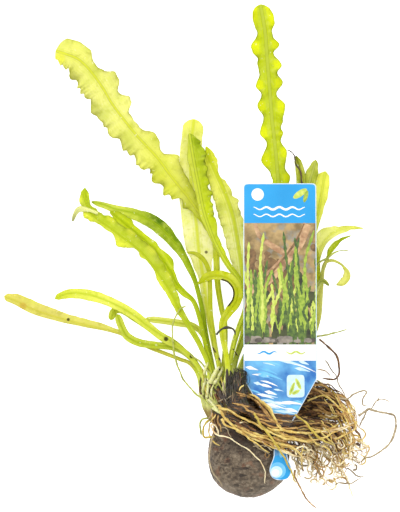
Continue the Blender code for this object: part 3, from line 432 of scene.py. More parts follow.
def leaf(
    name, seat, rounding, route, left, right, colours, rib, ruffle=0, fold=0, frill=0.12,
    teeth=(0, 0, 4.5), sheath=0.7, step=0.6, **looks,
):
    """A leaf with its stalk: a thin lens across, thicker along the midrib, frilled at the edges.

    seat is its place on the crown from left to right, -1 to 1, or None for a loose scrap. left
    and right hold half widths at distances from the tip, and rounding is the length of the round
    tip. ruffle and fold lift the edges. teeth are the heights of the left and right edge's
    scallops and their length, and sheath is how much wider the foot is. looks are for leaf_skin.
    """
    start, into = [], 0.0
    if seat is not None:
        # From 4 mm inside the crown to 1 mm outside it
        start = [CROWN_CENTRE + SIDE * seat * CROWN_HALF_WIDTH + ALONG * out for out in (-4, 1)]
        into = 5.0
    at, s = smooth_route(start + rows(route), step)
    to_tip = s[-1] - s
    share = np.clip((s - into) / (s[-1] - into), 0, 1)
    seed = sum(map(ord, name)) % 97
    foot = np.clip(1.25 - np.abs(s - into - 5) / 13, 0, 1) ** 2 * sheath if start else 0.0
    edges = []
    for knots, sign, tooth, shift in ((right or left, -1, teeth[1], 5), (left, 1, teeth[0], 0)):
        knots = rows(knots)
        plain = edge(to_tip, knots, rounding)
        blade = np.clip((plain - 1.2) / 2, 0, 1)
        turn = np.pi * to_tip / teeth[2] + 1.5 * wobble(s, seed + shift, 9.0)
        hook = np.mod(turn / np.pi, 1.0)
        half = plain + tooth * blade * (1.5 * np.where(hook < 0.78, hook, 3.5 * (1 - hook)) - 0.55)
        half = half + frill * blade * wobble(s, seed + shift, 2.2) + foot
        lift = fold * blade + (sign * ruffle_of(to_tip, knots, plain, ruffle) if ruffle else 0)
        lift = lift + 1.5 * frill * blade * wobble(s, seed + shift + 9, 2.6)
        crimp = 0.4 * tooth * blade * np.sin(2 * turn)
        notch_shade = min(2 * tooth, 1) * blade * np.clip(1 - np.abs(hook - 0.9) / 0.16, 0, 1)
        lobe = np.clip((plain - eased(plain, 11)) / 0.9, -1, 1) * blade
        edges.append((half, lift, crimp, notch_shade, lobe))
    across = np.sin(np.linspace(-0.5, 0.5, LEAF_COLUMNS) * np.pi)
    half, lift, crimp, notch_shade, lobe = (
        np.where(across < 0, one[:, None], other[:, None]) for one, other in zip(*edges)
    )
    out = np.abs(across)[None]
    lift = lift * out**1.7 + crimp * out**2.5
    reach = across * half
    stalk = np.interp((edges[0][0] + edges[1][0]) / 2, [0.4, 1.3, 3.0], [0.55, 1.0, 0.30])
    thick = stalk[:, None] * np.sqrt(np.clip(1 - out**2, 0, 1)) + 0.06
    thick = thick + 0.35 * np.exp(-((reach / 0.45) ** 2)) * np.clip(half - 1.3, 0, 1)
    middle = eased(node_middle(name, at), 3)[:, None] + lift
    low = np.maximum(middle - thick / 2, LOWEST)
    top = np.maximum(middle + thick / 2, low + 0.05)
    xy = at[:, None] + reach[:, :, None] * normals_of(at)[:, None]
    points = np.concatenate([np.dstack([xy, z]).reshape(-1, 3) for z in (top, low)])
    above = np.arange(reach.size).reshape(reach.shape)
    under = above + reach.size
    faces = np.concatenate([
        quads(above, "dcba"),
        quads(under, "bcda"),
        quads(np.column_stack([above[:, 0], under[:, 0]]), "bcda"),
        quads(np.column_stack([above[:, -1], under[:, -1]]), "dcba"),
        quads(np.column_stack([above[0], under[0]]), "dcba"),
        quads(np.column_stack([above[-1], under[-1]]), "bcda"),
    ])
    # What the skin is told: painted shade on ruffles, folds, low edges, notches and a stalk's
    # edges, and the lobes
    slope = np.abs(np.gradient(lift, axis=0)) / step
    narrow = np.clip(1.9 - half, 0, 1) * np.clip((out - 0.45) / 0.4, 0, 1)
    narrow = narrow * np.where(across < 0, 1.0, 0.6)
    narrow = narrow * (0.75 + 0.5 * wobble(s, seed + 31, 5.0))[:, None]
    fold_shade = np.clip(1.2 * slope + 0.4 * np.clip(-lift, 0, 1) * out + 1.3 * narrow, 0, 1)
    maps = {
        "UVMap": ((across + 1) / 2, share[:, None]),
        "Reach": (0.5 + reach / MAP_WIDTH, to_tip[:, None] / MAP_LENGTH),
        "Fold": (fold_shade, np.maximum(s - into, 0)[:, None] / MAP_LENGTH),
        "Mark": (
            notch_shade * np.clip(2.2 * out - 1.1, 0, 1), 0.5 + 0.5 * lobe * np.clip(2 * out - 0.7, 0, 1)
        ),
    }
    for key, pair in maps.items():
        maps[key] = np.tile(np.dstack(np.broadcast_arrays(*pair)).reshape(-1, 2), (2, 1))
    skin = leaf_skin(name + "_skin", colours, rib, **looks)
    place_piece(new_piece("plant_" + name, points, faces, [skin], maps=maps), name)


# Leaves: the same routes and outlines as the CAD leaves, lowest first

leaf(
    "leaf_far_left", -0.97, 1.6,
    "-21 32, -25 38, -29.5 40, -36 42.5, -42.5 45, -48.5 48, -55 51, -63 53, -73.5 55.5, "
    "-84 58.5, -92.5 61.5, -98.5 64.5, -103.8 66.6",
    "0 1.4, 2 1.7, 15 2, 25 1.6, 35 1.1, 45 0.7, 53 0.8, 91 0.8",
    "0 1.4, 2 2, 5 3, 12 3.6, 20 3.2, 30 2.6, 42 2.4, 50 1.4, 56 0.9, 91 0.8",
    "185 200 35, 210 216 60, 232 230 130, 232 225 140, 228 218 120",
    (226, 221, 90), rib_width=0.6, rim=(196, 192, 60), veins=0.45,
    spots=[(29, -0.4, 0.7, 70, 60, 30), (9, 0.6, 1.6, 222, 200, 90)], sheath=1.4,
)
leaf(
    "leaf_small_tip", -0.7, 1.3,
    "-19.5 31, -25 40.5, -32 47.5, -42 52.5, -48.5 57, -53.5 60.5, -57 60.5, -59 56.5",
    "0 1.2, 3 1.6, 8 1.5, 20 1, 60 0.8",
    "",
    "180 196 30, 210 220 65, 224 231 90",
    (206, 216, 55), rib_width=0.5, sheath=1.2,
)
leaf(
    "leaf_pale_strip", -0.42, 1,
    "-16 33, -17.5 44, -20 50.5, -24 54, -31.5 55.5, -39 56.5, -44 57",
    "0 0.9, 4 1.4, 16 1.5, 28 1, 60 0.8",
    "",
    "190 202 40, 236 238 120, 243 244 155",
    (215, 222, 60), rib_width=0.5,
)
leaf(
    "leaf_stub", -0.82, 1.2,
    "-20 31, -23 38.5, -27.5 43, -33 45.2, -40 46, -46.5 47, -51.5 49.5, -54 53.5, -56 59",
    "0 1.1, 3 1.6, 14 1.7, 30 1.4, 60 1.1",
    "",
    "178 197 20, 202 217 25, 222 231 75, 226 233 90",
    (190, 206, 20), rib_width=0.6, sheath=1.4,
)
leaf(
    "leaf_low_arch", -0.6, 1.4,
    "-18 30, -22 37.5, -27.5 43.5, -33.5 48, -38.5 51, -43.5 54.5, -50 59.5, -58.5 64, -66.5 67, "
    "-73 68, -78 67.5, -82.5 65.5",
    "0 0.6, 2 1.4, 5 2.1, 15 2.6, 25 2, 45 1.8, 54 2.4, 60 1.2, 80 0.9",
    "0 0.6, 2 1.4, 8 1.8, 20 2.2, 40 2, 50 1.3, 60 1.1, 80 0.9",
    "182 200 20, 216 228 50, 240 243 100, 247 247 130, 228 233 70",
    (216, 227, 60), rim=(166, 178, 30), rib_width=0.5,
    spots=[(53, 0.4, 1.0, 36, 36, 10), (66, -0.5, 0.9, 40, 38, 10)], fold=0.5, sheath=1.2,
)
leaf(
    "leaf_upright_pale", -0.15, 3.6,
    "-12.5 35, -14.5 44, -17 56.5, -18.5 65, -19.5 73.5, -21.5 86, -22.5 96.5, -24 107, "
    "-25 119.5, -24.5 132.5, -23.5 141.5",
    "0 3.8, 4 4.4, 20 4.8, 35 5.6, 47 6, 54 5.4, 60 3.6, 68 2, 80 1.3, 110 1",
    "0 4, 5 4.4, 30 5, 50 6, 57 6.2, 63 4.4, 70 2.2, 80 1.3, 110 1",
    "200 212 25, 236 238 110, 250 248 200, 250 248 205, 249 248 195, 240 240 130",
    (226, 231, 70), rib_width=1.3, veins=0.12, rim=(225, 226, 130),
    spots=[(57, -3, 0.7, 120, 110, 70)], fold=0.4,
)
leaf(
    "leaf_broad_pale", -0.4, 2.6,
    "-11.5 34, -10.5 44, -10.5 54.5, -12 62, -13.5 71.5, -14 81, -14.5 89.5, -19 98, -25 107, "
    "-33 117, -38.5 124.5, -43.5 130, -49 136, -57.5 147, -62 154.5, -67 161.5, -72 166.5, "
    "-77 168.7, -82 170.4",
    "0 3.4, 2 4.4, 6 5.6, 10 6.6, 14 8.6, 17.6 7.6, 21 8.6, 25 8.6, 27 7.4, 34.6 9.2, 38.6 7.8, "
    "43 8.9, 47.6 7.2, 51.6 8, 57.6 7, 61.6 8.8, 66.6 5.8, 70.6 7.5, 73.6 5.4, 77.6 7, 81 5.4, "
    "84.6 3, 88 3.9, 92 2.2, 97 1.5, 160 1",
    "0 4.4, 3.6 6.6, 6.6 6.9, 11.6 6.2, 15.6 3.5, 18 3.4, 20.5 4.6, 23.6 8.1, 26 8, 31 4.9, "
    "36.6 7.8, 38 7.4, 41.6 3.5, 47 3.2, 50.6 3.5, 55.6 6.4, 58 5.8, 63.6 3, 68.4 7.6, 72 6, "
    "78 5, 86 3.6, 93 2, 98 1.4, 160 1",
    "172 192 5, 206 218 10, 213 224 12, 237 238 104, 245 244 168, 240 240 138",
    (226, 230, 66), rib_width=1.0, veins=0.22, rim=(170, 170, 56),
    spots=[(2.8, 2.6, 2.6, 236, 236, 96)], line=0.32, patch=(250, 249, 165), ruffle=1.5,
    frill=0.14, teeth=(1.3, 0.2, 5.0), step=0.45,
)
leaf(
    "leaf_mid_pale", 0.12, 1,
    "-6 40, -2.5 52.5, -1.5 65, -3 75.5, -4.5 86, -7 100, -10.5 110.5, -14.5 119.5, -17 125.5, "
    "-18.5 130",
    "0 0.5, 6 2.6, 12 4.2, 20 5.4, 30 6, 42 5, 52 4, 60 2.4, 68 1.4, 93 1",
    "0 0.6, 3 2, 6 2.6, 9 2.3, 12 1, 14 0.9, 18 2.5, 21 2.8, 23 2.5, 26 4, 30 3.2, 34 4.2, "
    "40 3.6, 46 4, 54 3.4, 60 2, 68 1.3, 93 1",
    "185 202 5, 236 238 80, 254 252 190, 254 252 200, 248 247 145, 228 232 20",
    (216, 224, 30), rib_width=1.4, veins=0.24, rim=(168, 168, 50), ruffle=1, frill=0.12,
    teeth=(0.4, 0.7, 4.6),
)
leaf(
    "leaf_arched", -0.62, 1.4,
    "-15.5 35.5, -18 48.5, -20 61, -22.5 71.5, -25 78.5, -28.5 85.5, -33 91, -38 96, -43.5 99.5, "
    "-49.5 102, -56.5 103.5, -62 105.5, -67 106.5",
    "0 0.6, 4 1.6, 12 1.9, 20 2.9, 30 3.2, 40 2.8, 50 2, 60 1.1, 97 0.9",
    "0 0.6, 4 0.9, 12 1.6, 20 1.9, 26 2.9, 34 2.9, 40 2, 48 1, 60 0.9, 97 0.9",
    "180 200 20, 190 206 10, 186 205 5, 174 198 0, 150 182 0, 120 158 0, 92 134 5, 240 242 110, "
    "250 250 150",
    (182, 204, 20), rib_width=0.6, side=(222, 231, 70, -0.45), rim=(142, 160, 15),
    patch=(214, 227, 70), fold=0.8,
)
leaf(
    "leaf_ruffled_behind", -0.3, 1.2,
    "-15.5 35, -18.5 46, -21 57.5, -23.5 64.5, -27.5 68.5, -31 72.5, -33.5 77.5, -37.5 83.5, "
    "-42 88.5, -48 93.5, -54 98.5, -59 102.5",
    "0 0.8, 6 2, 12 2.6, 20 3, 30 3, 38 2.6, 46 2, 52 1.2, 83 0.9",
    "0 0.8, 4 2.4, 9 3, 12 2, 20 2, 23 2.4, 26 1.9, 30 3, 33 3.4, 37 1.4, 44 0.8, 83 0.8",
    "174 195 15, 202 217 20, 220 231 20, 232 239 35, 220 230 30",
    (192, 210, 10), rib_width=0.6, rim=(120, 138, 0), lobe=(204, 218, 20), patch=(216, 226, 70),
    ruffle=0.8, frill=0.16, teeth=(0.3, 0.3, 4.2),
)
leaf(
    "leaf_ruffled_left", -0.8, 1.2,
    "-17 35.5, -21 46, -26 54.5, -30 61.5, -33.5 68.5, -38 75.5, -42 81, -47 86.5, -53 91, "
    "-59 95.5, -64 99, -68 103.5, -69.5 108, -69.5 112.5",
    "0 0.5, 2 1.6, 5 2.7, 7.5 2.2, 11 3.5, 13 3.2, 15.5 1.6, 18 1.4, 21 1.7, 23.5 1.3, 28.6 4.3, "
    "31 3.3, 35 0.9, 37 0.8, 39.6 1.9, 42 0.8, 47 0.8, 53 2.2, 60 1.9, 67 1.7, 72 1.1, 96 1",
    "0 0.5, 3 2, 6 1.8, 8 1.6, 12 2.6, 16 3.2, 20 4.4, 24 3.8, 30 4.7, 35 4.1, 40 4.9, 46 4, "
    "52 4, 60 2.6, 67 1.5, 96 1",
    "186 204 25, 214 226 40, 230 237 60, 238 242 85, 240 243 90, 194 208 30",
    (200, 214, 30), rib_width=0.8, veins=0.35, side=(190, 210, 10, 0.6), rim=(152, 164, 10),
    lobe=(242, 244, 90), patch=(240, 242, 120), ruffle=1.1, frill=0.2, teeth=(0.5, 0.3, 4.4),
    sheath=1.2,
)
leaf(
    "dried_scrap", None, 0.8,
    "-64 101.5, -68 103, -71.8 103.3, -73.5 101.5, -74.8 98",
    "0 0.5, 3 0.9, 7 1.3, 12 0.7",
    "",
    "110 115 50, 150 150 95",
    (100, 100, 50), glow=0.2,
)
leaf(
    "leaf_tall", 0.38, 3.5,
    "-7 36, -2 50.5, 4 65, 9 82, 12 98.5, 12.3 111.5, 11.5 122, 10.5 132.5, 9.5 141, 8.5 153.5, "
    "7.5 166, 6.5 178.5, 4.5 190",
    "0 3.4, 3 4, 6 4.3, 9 4.1, 12 3.4, 18 6.6, 20 6.2, 23 4, 25 4.4, 29.5 3.9, 34.5 5.9, 38 3.7, "
    "43 5.7, 47.5 3.7, 54.5 5.9, 58.5 3.5, 66 6.4, 72 3, 75 2.4, 80 4.4, 85 3, 92 4, 100 3.2, "
    "110 2, 120 1.3, 157 1.1",
    "0 3, 3 4, 6 4.7, 8.5 4.6, 12 3, 14 3.2, 17.5 5.6, 21 2.9, 26.5 5.9, 29.6 3.7, 33.5 5.9, "
    "38.5 2.7, 43.5 6, 50 4.6, 53 3.3, 55 4.1, 58.5 2.7, 63 4.7, 70 3.4, 74 5.2, 79 3.4, 84 4.6, "
    "92 3.4, 100 3.4, 110 2, 120 1.3, 157 1.1",
    "162 185 5, 192 208 0, 206 220 0, 216 227 0, 214 225 5, 218 228 10",
    (208, 218, 84), rib_width=1.3, veins=0.3, rim=(140, 148, 20), lobe=(238, 242, 0), line=0.3,
    patch=(226, 234, 90), ruffle=1.5, frill=0.1, step=0.45,
)
leaf(
    "leaf_right_pale", 0.62, 2.4,
    "-3 36, 4 47, 12.5 60, 21 76, 26.5 92, 29 102, 30.5 110.5, 32 119.5",
    "0 1.4, 2 3, 6 3.6, 15 3.2, 30 2.2, 45 1.3, 92 0.9",
    "0 1.2, 2 2.2, 6 2.8, 11 2.8, 16 2, 24 1.4, 92 0.9",
    "195 208 20, 230 235 80, 254 253 170, 254 253 170, 246 247 130",
    (236, 240, 100), rib_width=0.8, glow=0.7, fold=0.3,
)
leaf(
    "leaf_right_bend", 0.88, 0.8,
    "-1 34, 8 43, 17 54, 24.5 69.5, 28 80, 30 86.5, 33 91.5, 37 94.3, 42 95.7, 48.3 95.3",
    "0 0.3, 5 0.7, 10 1.2, 12 2.4, 17 4.6, 24 3, 40 1.2, 82 0.8",
    "0 0.3, 5 1, 8 1.8, 15 1.8, 20 1.2, 40 1, 82 0.8",
    "200 212 20, 236 240 80, 255 254 180, 255 254 190, 248 248 160",
    (240, 242, 130), rib_width=0.7, rim=(196, 198, 90), glow=0.7, patch=(255, 255, 210), fold=0.3,
)
leaf(
    "leaf_right_olive", 0.3, 1,
    "-3 38, 5 52, 12 66, 18.5 84, 23 102, 25 113.5, 26.5 119, 28 124.3",
    "0 0.6, 2 1.6, 6 2.6, 14 2.5, 30 1.8, 50 1.2, 92 0.9",
    "",
    "130 155 5, 150 172 20, 180 190 50, 196 205 60",
    (206, 212, 110), rib_width=0.8, rim=(100, 104, 20), fold=0.5,
)
leaf(
    "leaf_right_folded", 0.1, 0.8,
    "-4 38, 3 52, 9 66, 15 84, 19.5 102, 21.5 114.5, 21 120.5, 19.5 126",
    "0 0.5, 3 1.6, 8 2, 18 1.7, 35 1.2, 92 0.9",
    "",
    "140 165 5, 170 190 30, 222 226 110, 196 204 50",
    (130, 138, 20), rib_width=0.5, rim=(96, 100, 15), rim_share=0.7, fold=0.8,
)
leaf(
    "leaf_right_upright", 0.85, 0.8,
    "3 33, 14 40, 24 46, 28 54, 29 65, 28.7 73.5, 28.5 81, 28 87.5",
    "0 0.5, 5 1.2, 16 1.3, 30 1, 70 0.8",
    "",
    "180 196 20, 240 243 110, 250 251 135, 240 244 100",
    (226, 232, 70), rib_width=0.5, glow=0.7,
)
leaf(
    "leaf_right_green", 0.58, 0.8,
    "1 34, 11 42.5, 21 52, 26.8 63, 30 74.5, 32.5 82, 35 86.5, 38.5 90.2, 43 92.3",
    "0 0.3, 5 0.9, 8 1.6, 11 1.7, 14 0.7, 76 0.8",
    "0 0.3, 5 0.5, 8 0.9, 12 0.7, 76 0.8",
    "172 194 10, 208 222 20, 226 236 30, 176 190 50",
    (204, 218, 20), rib_width=0.5, glow=0.7,
)
leaf(
    "leaf_right_curl", 0.95, 0.8,
    "5 31, 15 36.5, 24 44, 28.8 56, 29.8 68, 30.6 76, 31.6 80.4, 34.5 81.7, 38 80.4, 41 77.3, "
    "41.4 74, 39.5 71.6, 36.3 71.3",
    "0 0.3, 4 0.6, 8 1, 12 0.5, 20 0.7, 35 1.1, 50 0.9, 82 0.8",
    "0 0.4, 2 2.4, 4 2.9, 8 2.3, 11 1, 13 0.5, 20 0.7, 35 1.1, 50 0.9, 82 0.8",
    "200 208 50, 232 234 110, 252 250 180, 250 246 175, 230 230 130",
    (236, 236, 130), rib_width=0.5, rim=(150, 154, 80), rim_share=0.6, glow=0.7,
    patch=(255, 253, 200),
)
leaf(
    "cut_scrap", None, 0.8,
    "22 60, 25.5 63.5, 27.5 67, 28.5 70.5, 30 72.8, 31.5 72.8, 33.5 71",
    "0 0.5, 4 1.1, 9 0.9, 16 0.6",
    "",
    "140 155 20, 175 185 30, 120 128 40",
    (120, 130, 30), glow=0.3,
)
leaf(
    "leaf_front", -0.1, 0.8,
    "-9 36, -7 46, -4.5 54, -2 61, -1.8 67, -4.5 73.5, -9 79.5, -13 86, -16 92.5, -19.5 103, "
    "-22 115.5, -24 126, -25.5 135.5",
    "0 0.5, 3 1, 6 1.6, 11 2.6, 15 2, 24 2, 30 1.8, 35 2.2, 41 1.5, 50 1, 60 1.2, 106 1.1",
    "0 0.4, 2 2.4, 5 4, 8 5.2, 11 5.4, 13 4.4, 15.5 5.2, 18 4, 20.5 4.7, 24 4, 27 5, 30 3.9, "
    "33 4.3, 35.5 3.5, 38 4.1, 41 3.4, 44 2.4, 50 2.2, 58 1.4, 70 1.2, 106 1.1",
    "170 192 5, 214 228 25, 230 239 10, 220 233 0, 172 196 0",
    (230, 239, 75), rib_width=1.0, veins=0.3, side=(238, 242, 100, -0.85), rim=(96, 118, 0),
    line=0.4, patch=(222, 232, 70), ruffle=0.7, frill=0.16, teeth=(0.1, 0.7, 4.8), step=0.45,
)
leaf(
    "thin_stalk", -0.5, 0.6,
    "-13 35, -15 48.5, -16.5 60, -16.7 69.5, -17.2 77, -19.5 82, -23 84.6, -26.5 85",
    "0 0.5, 6 0.95, 30 0.95, 70 0.8",
    "",
    "170 188 5, 200 210 20, 214 220 30",
    (222, 226, 60), rib_width=0.4,
)
leaf(
    "leaf_curl", 0.1, 1,
    "-9.5 38, -11.5 50, -11.5 56, -9 60.5, -6 64.8, -5.6 69.5, -8.3 73.6, -13 75.3, -17.5 74.8, "
    "-22 71.8",
    "0 0.6, 5 1.6, 12 1.7, 28 1.7, 34 1.4, 53 1",
    "0 0.6, 5 2, 14 2.4, 28 2.4, 34 1.8, 53 1",
    "186 203 30, 206 218 40, 226 231 20, 232 236 20, 218 226 5",
    (212, 220, 0), rib_width=0.6, spots=[(d, 1.8, 0.95, 44, 32, 8) for d in range(12, 29)],
    fold=0.4,
)


# Tuber: the CAD form, finer, with knobbly skin


def tuber_skin():
    """Grey-brown with rusty patches, pits in rows, and green sheaths on the crown's left."""
    skin = Shader("tuber_skin")
    x, y = skin.axes(skin.place)
    cloud, grain = skin.clouds(130, 6, 0.65), skin.clouds(700, 5, 0.7)
    ridges = skin.clouds(1, stretch=(260, 620, 260))
    pits = skin.clouds(1, 2, stretch=(160, 520, 160)).fade(0.64, 0.72)
    browns = rows("56 44 34, 90 75 59, 112 97 78, 138 123 102")
    skin.colour = skin.ramp(cloud, browns, (0.30, 0.46, 0.60, 0.75))
    skin.paint(grain.fade(0.51, 0.40, 0.8), (48, 37, 27))
    skin.paint(grain.fade(0.54, 0.64, 0.6), (160, 144, 120))
    skin.paint(skin.clouds(210).fade(0.56, 0.68, 0.55), (128, 78, 50))
    skin.paint(ridges.fade(0.50, 0.70, 0.35), (146, 132, 112))
    skin.paint(pits * 0.8, (34, 25, 20))
    skin.paint(y.fade(-0.006, -0.014, 0.45) * cloud, (156, 141, 118))
    # Painted shadow under the roots on the top right of the body; the neck and crown darker too
    upper = y.fade(0.013, 0.019).larger(y.fade(0.0, 0.006) * x.fade(-0.012, -0.007))
    skin.paint(upper * 0.84, (40, 28, 16))
    streaks = skin.clouds(1, 2, stretch=(900, 120, 900)).fade(0.4, 0.6)
    sheaths = y.fade(0.0185, 0.0225) * x.fade(-0.0115, -0.0145)
    skin.paint(sheaths, skin.mix(streaks, (150, 160, 40), (222, 224, 110)))
    height = grain * 0.6 + ridges * 0.7 - pits * 0.8
    return skin.close(skin.skin(height, 0.9, 0.0006, 0.7, 0.35)[1])


def tuber():
    """A round body that narrows to a neck and ends in the crown."""
    length = np.linalg.norm(CROWN_CENTRE - TUBER_CENTRE)
    # The body is half of a longer round and half of a shorter one, on either side of its middle
    to_crown, to_foot = 18.2, 17.0
    neck = [15.2, 17.0, 19.4, length - 1.2, length]
    neck_halves = [8.7, 8.0, CROWN_HALF_WIDTH, CROWN_HALF_WIDTH - 1.0]
    neck_tall = [7.6, 7.0, CROWN_HEIGHT / 2, CROWN_HEIGHT / 2 - 1.0]

    def body(t):
        """Half the body's width and height at this distance along it."""
        size = math.sqrt(max(1 - (t / (to_crown if t > 0 else to_foot)) ** 2, 0))
        return size * TUBER_HALF_WIDTH, size * TUBER_HEIGHT / 2

    around = 200
    angle = 2 * np.pi * np.arange(around) / around
    places = -(to_foot - 0.05) * np.cos(np.linspace(0, 0.5, 40) * np.pi)
    rings = []
    for t in np.concatenate([places, np.linspace(0.3, length, 80)]):
        half, tall = body(min(t, neck[0]))
        if t > neck[0]:
            half = np.interp(t, neck, [half, *neck_halves])
            tall = np.interp(t, neck, [tall, *neck_tall])
        lumps = 1 + 0.018 * np.sin(3 * angle + 0.31 * t) + 0.012 * np.sin(7 * angle - 0.5 * t)
        xy = TUBER_CENTRE + ALONG * t + np.outer(half * lumps * np.cos(angle), SIDE)
        middle = np.interp(t, neck[:4], [12.45, 12.9, 13.3, 14.0])
        rings.append(np.column_stack([xy, middle + tall * lumps * np.sin(angle)]))
    points = np.array(rings)
    out = points - (*TUBER_CENTRE, 12.5)  # away from the middle of the body
    out /= np.linalg.norm(out, axis=2)[:, :, None]
    rough = [
        0.30 * noise.fractal(Vector(p) * 0.16, 0.9, 2.0, 4)
        + 0.22 * noise.noise(Vector((p[0] * 0.9, p[1] * 2.4, p[2] * 0.9)))
        - 0.45 * max(noise.noise(Vector((p[0] * 0.55, p[1] * 0.9, p[2] * 0.55))) - 0.30, 0)
        for p in points.reshape(-1, 3)
    ]
    points = points + out * np.reshape(rough, (-1, around, 1))
    points[:, :, 2] = np.maximum(points[:, :, 2], 0.0)
    ends = [np.broadcast_to(ring.mean(axis=0), ring.shape)[None] for ring in points[[0, -1]]]
    points = np.concatenate([ends[0], points, ends[1]])
    faces = quads(closed(len(points), around), "adcb")
    place_piece(new_piece("plant_tuber", points.reshape(-1, 3), faces, [tuber_skin()]), "tuber")


tuber()


# Label: the CAD plate with rounded corners, and its print as thin flat shapes on top

LABEL_BOTTOM, LABEL_TOP = -9.6, 114.1
PICTURE_LOW, PICTURE_HIGH, FIELD_HIGH = 46.6, 97.4, 39.9
PRINT_EDGE = 0.35
LABEL_RIGHT = rows(
    "1 -9.6, 2.3 -9.3, 3.4 -8.6, 4.2 -7.4, 4.6 -5.8, 4.5 -4.4, 4 -3, 3.2 -1.2, 2.8 0.4, 2.7 11, "
    "6.4 16.8, 15.3 32.3, 15.3 114.1"
)
INKS = [
    plain_skin("label_" + name, main, other, bump=0.02, rough=0.28, **looks)
    for name, main, other, looks in (
        ("plate", (215, 232, 245), (205, 226, 243), {}),
        ("sky", (8, 150, 216), (24, 162, 228), {"scale": 60}),
        ("white", (250, 250, 250), (250, 250, 250), {}),
        ("field", (34, 108, 184), (110, 186, 232), {"scale": 110}),
        ("pale", (190, 225, 245), (215, 238, 250), {"scale": 400}),
        ("middle", (96, 186, 236), (128, 202, 240), {"scale": 200}),
        ("backdrop", (126, 104, 62), (188, 158, 104), {"scale": 240, "stain": (138, 142, 138)}),
        ("deep", (38, 44, 24), (74, 80, 40), {"scale": 360}),
        ("wood", (164, 122, 84), (214, 176, 132), {"scale": 420, "stain": (122, 88, 58)}),
        ("wood_dark", (96, 72, 40), (142, 108, 66), {"scale": 500}),
        ("grass_dark", (56, 82, 36), (100, 126, 48), {"scale": 700}),
        ("grass", (128, 158, 44), (172, 194, 70), {"scale": 700}),
        ("grass_pale", (182, 200, 68), (214, 224, 112), {"scale": 700}),
        ("stone", (120, 112, 102), (160, 150, 136), {"scale": 420}),
        ("stone_dark", (78, 70, 62), (104, 96, 86), {"scale": 420}),
    )
]
(PLATE, SKY, WHITE, FIELD, LIGHT_BLUE, MIDDLE_BLUE, BACKDROP, DEEP_GREEN, WOOD, WOOD_DARK,
 GRASS_DARK, GRASS, GRASS_PALE, STONE, STONE_DARK) = range(15)


def rounded(corners, radius, steps=6):
    """An outline with its corners (x, y) rounded by these radii."""
    corners = [np.array(c, float) for c in corners]
    line = []
    for k, corner in enumerate(corners):
        before, after = corners[k - 1] - corner, corners[(k + 1) % len(corners)] - corner
        r = min(radius[k], 0.45 * np.linalg.norm(before), 0.45 * np.linalg.norm(after))
        first = corner + before / np.linalg.norm(before) * r
        last = corner + after / np.linalg.norm(after) * r
        for t in np.linspace(0, 1, steps):
            line.append((1 - t) ** 2 * first + 2 * t * (1 - t) * corner + t**2 * last)
    return np.array(line)


def label_half(y):
    """The label's half width at this height."""
    halves, heights = np.transpose(LABEL_RIGHT)
    return np.interp(y, heights, halves)


class Print:
    """The plate and the flat shapes on it, each with its own ink and a lift above the plate."""

    def __init__(self):
        right = [(LABEL_X + x, y) for x, y in LABEL_RIGHT]
        left = [(LABEL_X - x, y) for x, y in reversed(LABEL_RIGHT)]
        radii = [1.0] * 9 + [2.0, 3.0, 1.0, 1.8, 1.8, 1.0, 3.0, 2.0] + [1.0] * 9
        outline = rounded(right + left, radii)
        ring = np.column_stack([outline, LABEL_UNDERSIDE + LABEL_SLOPE * outline[:, 1]])
        count = len(ring)
        self.points = list(ring) + list(ring + (0, 0, LABEL_THICKNESS))
        self.faces = [list(range(count, 2 * count)), list(range(count))[::-1]]
        for k in range(count):
            after = (k + 1) % count
            self.faces.append([k, after, after + count, k + count])
        self.inks = [PLATE] * (count + 2)

    def shape(self, outline, ink, lift):
        """A filled outline, kept inside the label's edge."""
        outline = np.array(outline, float)
        most = label_half(outline[:, 1]) - PRINT_EDGE
        outline[:, 0] = np.clip(outline[:, 0], LABEL_X - most, LABEL_X + most)
        first = len(self.points)
        z = LABEL_UNDERSIDE + LABEL_THICKNESS + LABEL_SLOPE * outline[:, 1] + lift
        self.points += list(np.column_stack([outline, z]))
        self.faces.append(list(range(first, len(self.points))))
        self.inks.append(ink)

    def band(self, line, widths, ink, lift):
        """A stroke along a line, of these widths."""
        at, s = smooth_route(line, 0.8)
        half = np.interp(s / s[-1], np.linspace(0, 1, len(widths)), widths)[:, None] / 2
        side = normals_of(at)
        left, right = at + side * half, at - side * half
        for k in range(len(at) - 1):
            self.shape([right[k], right[k + 1], left[k + 1], left[k]], ink, lift)

    def blob(self, x, y, wide, tall, ink, lift, turn=0.0, count=20):
        """An oval, turned clockwise."""
        angle = 2 * np.pi * np.arange(count) / count
        at = np.column_stack([wide * np.cos(angle), tall * np.sin(angle)])
        spin = np.array([(math.cos(turn), math.sin(turn)), (-math.sin(turn), math.cos(turn))])
        self.shape(at @ spin + (x, y), ink, lift)

    def slab(self, low, high, ink, lift):
        """A full-width area between two heights, with the label's own sides."""
        ys = [low] + [y for _, y in LABEL_RIGHT if low < y < high] + [high]
        sides = [(LABEL_X + label_half(y) - PRINT_EDGE, y) for y in ys]
        self.shape(sides + [(2 * LABEL_X - x, y) for x, y in reversed(sides)], ink, lift)

    def wave(self, first, last, count, height, rise, pitch, widths, ink, lift):
        """A band that goes up and down."""
        xs = np.linspace(first, last, count)
        line = [(x, height + rise * math.sin(pitch * x)) for x in xs]
        self.band(line, widths, ink, lift)


